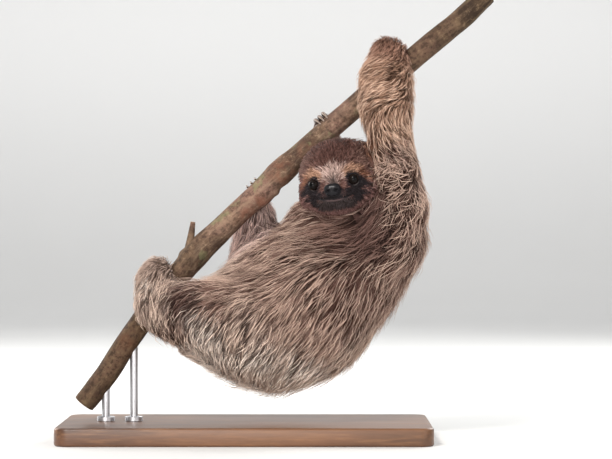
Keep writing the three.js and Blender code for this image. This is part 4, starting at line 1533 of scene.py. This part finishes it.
def makeClaw(grip, side, name, node):
    middle, along, front, top = branchFrame(grip["x"])
    path, radii = [], []
    for t in np.linspace(0, 1, clawForm["rings"]):
        angle = math.radians(grip["from"] + t * (grip["to"] - grip["from"]))
        reach = grip["reach"][0] + t ** clawForm["hook"] * (grip["reach"][1] - grip["reach"][0])
        spot = middle + along * side * grip["spread"] * (1 - clawForm["close"] * t)
        path.append(spot + front * reach * math.cos(angle) + top * reach * math.sin(angle))
        radii.append(grip["root"] + t ** clawForm["taper"] * (clawForm["tip"] - grip["root"]))
    claw = sweptTube(np.array(path) * mm, np.array(radii) * mm, clawForm["sides"], clawRound)
    place = points(claw) / mm
    steps = np.linalg.norm(place[:, None] - np.array(path)[None], axis=2).argmin(1)
    setAttribute(claw, "along", "FLOAT", steps / (clawForm["rings"] - 1))
    finishPiece(claw, name, "clawHorn", [node])


for grip in grips:
    for number, side in enumerate((-1, 0, 1), 1):
        label = "%s_%d" % (grip["name"], number)
        makeClaw(grip, side, "horn_" + label, "claw_" + label)
print("claws made")

# Branch. A knot is at a share of the branch's length and a turn round it.
sideShoot = {
    "line": [(-58, 0, 181, 5.75), (-56.5, -0.3, 192, 4.6), (-54.6, -0.7, 205, 3.4), (-53, -1, 217, 2.4)],
    "rings": 24,
    "sides": 18,
}
knots = [
    {"at": 0.315, "turn": 4.4, "height": 1.6, "reach": (0.012, 0.5)},
    {"at": 0.565, "turn": 3.4, "height": 1.5, "reach": (0.014, 0.6)},
    {"at": 0.2, "turn": 5.2, "height": 1.3, "reach": (0.008, 0.35)},
    {"at": 0.72, "turn": 3.9, "height": 0.9, "reach": (0.007, 0.4)},
    {"at": 0.488, "turn": 1.5, "height": 3.0, "reach": (0.022, 0.40)},
    {"at": 0.514, "turn": 1.45, "height": 2.2, "reach": (0.010, 0.5)},
    {"at": 0.60, "turn": 0.3, "height": 0.8, "reach": (0.005, 0.9)},
]
redBark = [
    ((-119, -8, 100), 9, 1), ((36, -8, 266), 12, 1), ((60, -8, 288), 8, 1),
    ((16, -8, 236), 10, 1), ((2, -8, 224), 9, 1),
]
barkRoll = {"radius": 11, "lengthwise": 0.16}
# Relief of the bark: how often round and along, and how high, then the cracks as a share of the ridges.
barkRelief = {"swell": (1.1, 26, 0.045), "ridge": (5, 22, 0.022), "crack": (3.1, 0.012), "girth": 11.5}
barkEnd = {"within": 0.004, "chip": 0.03}
# The branch's left length and its top end are darker: from and to along it, and how much.
duskBark = [((-1, 30, 90), 1.0), ((1, 110, 160), 0.8)]
# Each cut end has a bevel, then rings of faces inward. The log's and the side shoot's are in metres.
cutInset = {"log": 0.0009, "shoot": 0.0003, "rings": 4, "depth": 0.3, "share": 0.93}


def barkShape(angles, t):
    made = []
    waves = [barkRelief["swell"], barkRelief["ridge"]]
    finer, low = barkRelief["crack"]
    for angle in angles:
        x, y = math.cos(angle), math.sin(angle)
        swell, ridge = (Vector((x * around, y * around, t * along)) for around, along, _ in waves)
        value = 1 + waves[0][2] * noise.noise(swell)
        value += waves[1][2] * noise.noise(ridge) + low * noise.noise(ridge * finer)
        for knot in knots:
            turn = (angle - knot["turn"] + math.pi) % (2 * math.pi) - math.pi
            away = ((t - knot["at"]) / knot["reach"][0]) ** 2 + (turn / knot["reach"][1]) ** 2
            value += knot["height"] / barkRelief["girth"] * math.exp(-away)
        made.append(value)
    end = t < barkEnd["within"] or t > 1 - barkEnd["within"]
    return np.array(made) * (1 - barkEnd["chip"] * end)


def insetEnds(piece, step):
    inset = bpy.ops.mesh.inset
    bevel = (inset, {"thickness": step, "depth": step * 0.5, "use_even_offset": False})
    ring = (inset, {"thickness": step * 2, "use_even_offset": False})
    ends = [len(face.vertices) > 8 for face in piece.data.polygons]
    edit(piece, bevel, *[ring] * cutInset["rings"], picked=ends)


# Where the wood is cut across, and how far out from the pith it is there.
def cutEnds(place, ends):
    cut, ring = np.zeros(len(place)), np.zeros(len(place))
    for (x, y, z, radius), inner in ends:
        at = np.array([x, y, z])
        way = at - inner[:3]
        way = way / np.linalg.norm(way)
        over = (place - at) @ way
        around = np.linalg.norm(place - at - over[:, None] * way, axis=1)
        hit = (over > -cutInset["depth"]) & (around < radius * cutInset["share"])
        cut[hit] = 1
        ring[hit] = around[hit] / radius
    return cut, ring


# The bark rolled out flat, so that its grain runs along the branch.
def rollOut(place, row):
    reach = np.linalg.norm(np.diff(row[:, :3], axis=0, prepend=row[:1, :3]), axis=1).cumsum()
    nearest = np.concatenate([
        np.linalg.norm(part[:, None] - row[None, ::4, :3], axis=2).argmin(1) * 4
        for part in np.array_split(place, 40)
    ])
    nearest = nearest.clip(0, len(row) - 2)
    way = unit(row[nearest + 1, :3] - row[nearest, :3])
    v = place - row[nearest, :3]
    over = (v * way).sum(1)
    across = unit(v - over[:, None] * way)
    up = unit(np.cross(way, (0, 1, 0)))
    flat = np.column_stack([across[:, 1], (across * up).sum(1)]) * barkRoll["radius"]
    return np.column_stack([flat, (reach[nearest] + over) * barkRoll["lengthwise"]])


def makeBranch():
    row = smoothRow(branchForm["line"], branchForm["rings"])
    branch = sweptTube(row[:, :3] * mm, row[:, 3] * mm, branchForm["sides"], barkShape)
    shootRow = smoothRow(sideShoot["line"], sideShoot["rings"])
    shoot = sweptTube(shootRow[:, :3] * mm, shootRow[:, 3] * mm, sideShoot["sides"])
    insetEnds(branch, cutInset["log"])
    insetEnds(shoot, cutInset["shoot"])
    joined([shoot], branch)
    place = points(branch) / mm
    cut, ring = cutEnds(place, [(row[0], row[1]), (row[-1], row[-2]), (shootRow[-1], shootRow[-2])])
    dusk = np.maximum(*[most * eased(way * place[:, 0], near, far) for (way, near, far), most in duskBark])
    setAttribute(branch, "barkPlace", "FLOAT_VECTOR", rollOut(place, row) * mm)
    for name, values in {"cut": cut, "ring": ring, "red": nearness(place, redBark), "dusk": dusk}.items():
        setAttribute(branch, name, "FLOAT", values)
    finishPiece(branch, "cutBranch", "bark", ["branch"])


makeBranch()
print("branch made")

# Stand
baseForm = {"size": (368, 190, 18), "corner": 14, "edge": 2.5}
rodForm = {
    "radius": 4,
    "collarRadius": 9,
    "collarHeight": 4,
    "shoulder": 1.3,
    "rim": (0.7, 0.5),
    "groove": (0.6, -0.5),
    "shy": 1.0,
    "foot": 18.4,
    "at": {"stand_rod_short": -140, "stand_rod_long": -112},
}


def makeBase():
    bpy.ops.mesh.primitive_cube_add(size=1, location=(0, 0, baseForm["size"][2] / 2 * mm))
    base = bpy.context.object
    base.scale = [v * mm for v in baseForm["size"]]
    bpy.ops.object.transform_apply(location=True, rotation=True, scale=True)
    heights = [[base.data.vertices[i].co.z for i in edge.vertices] for edge in base.data.edges]
    corners = (bpy.ops.mesh.bevel, {"offset": baseForm["corner"] * mm, "segments": 10, "affect": "EDGES"})
    edit(base, corners, picked=[abs(a - b) > 0.001 for a, b in heights], kind="EDGE")
    edge = {"width": baseForm["edge"] * mm, "segments": 4}
    applyModifier(base, "BEVEL", limit_method="ANGLE", angle_limit=math.radians(60), **edge)
    finishPiece(base, "displayBase", "oiledWood", ["stand_base"], angle=40)


def makeRod(node, x):
    low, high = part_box(node)
    foot, height = rodForm["foot"] * mm, rodForm["collarHeight"] * mm
    at = (x * mm, (low.y + high.y) / 2, foot + height / 2)
    radius = rodForm["collarRadius"]
    bpy.ops.mesh.primitive_cylinder_add(vertices=48, radius=radius * mm, depth=height, location=at)
    rod = bpy.context.object
    bpy.ops.object.transform_apply(location=True, rotation=True, scale=True)
    rise = (0, 0, high.z - foot - height - rodForm["shy"] * mm)
    rim, groove = ([v * mm for v in rodForm[part]] for part in ("rim", "groove"))
    edit(
        rod,
        (bpy.ops.mesh.inset, {"thickness": rim[0], "depth": rim[1]}),
        (bpy.ops.mesh.inset, {"thickness": (radius - rodForm["radius"] - rodForm["shoulder"]) * mm}),
        (bpy.ops.mesh.inset, {"thickness": groove[0], "depth": groove[1]}),
        (bpy.ops.mesh.extrude_region_move, {"TRANSFORM_OT_translate": {"value": rise}}),
        picked=[face.normal.z > 0.9 for face in rod.data.polygons],
    )
    finishPiece(rod, node.replace("stand_rod_", "steelRod"), "brushedSteel", [node], angle=35)


makeBase()
for node, x in rodForm["at"].items():
    makeRod(node, x)
print("stand made")
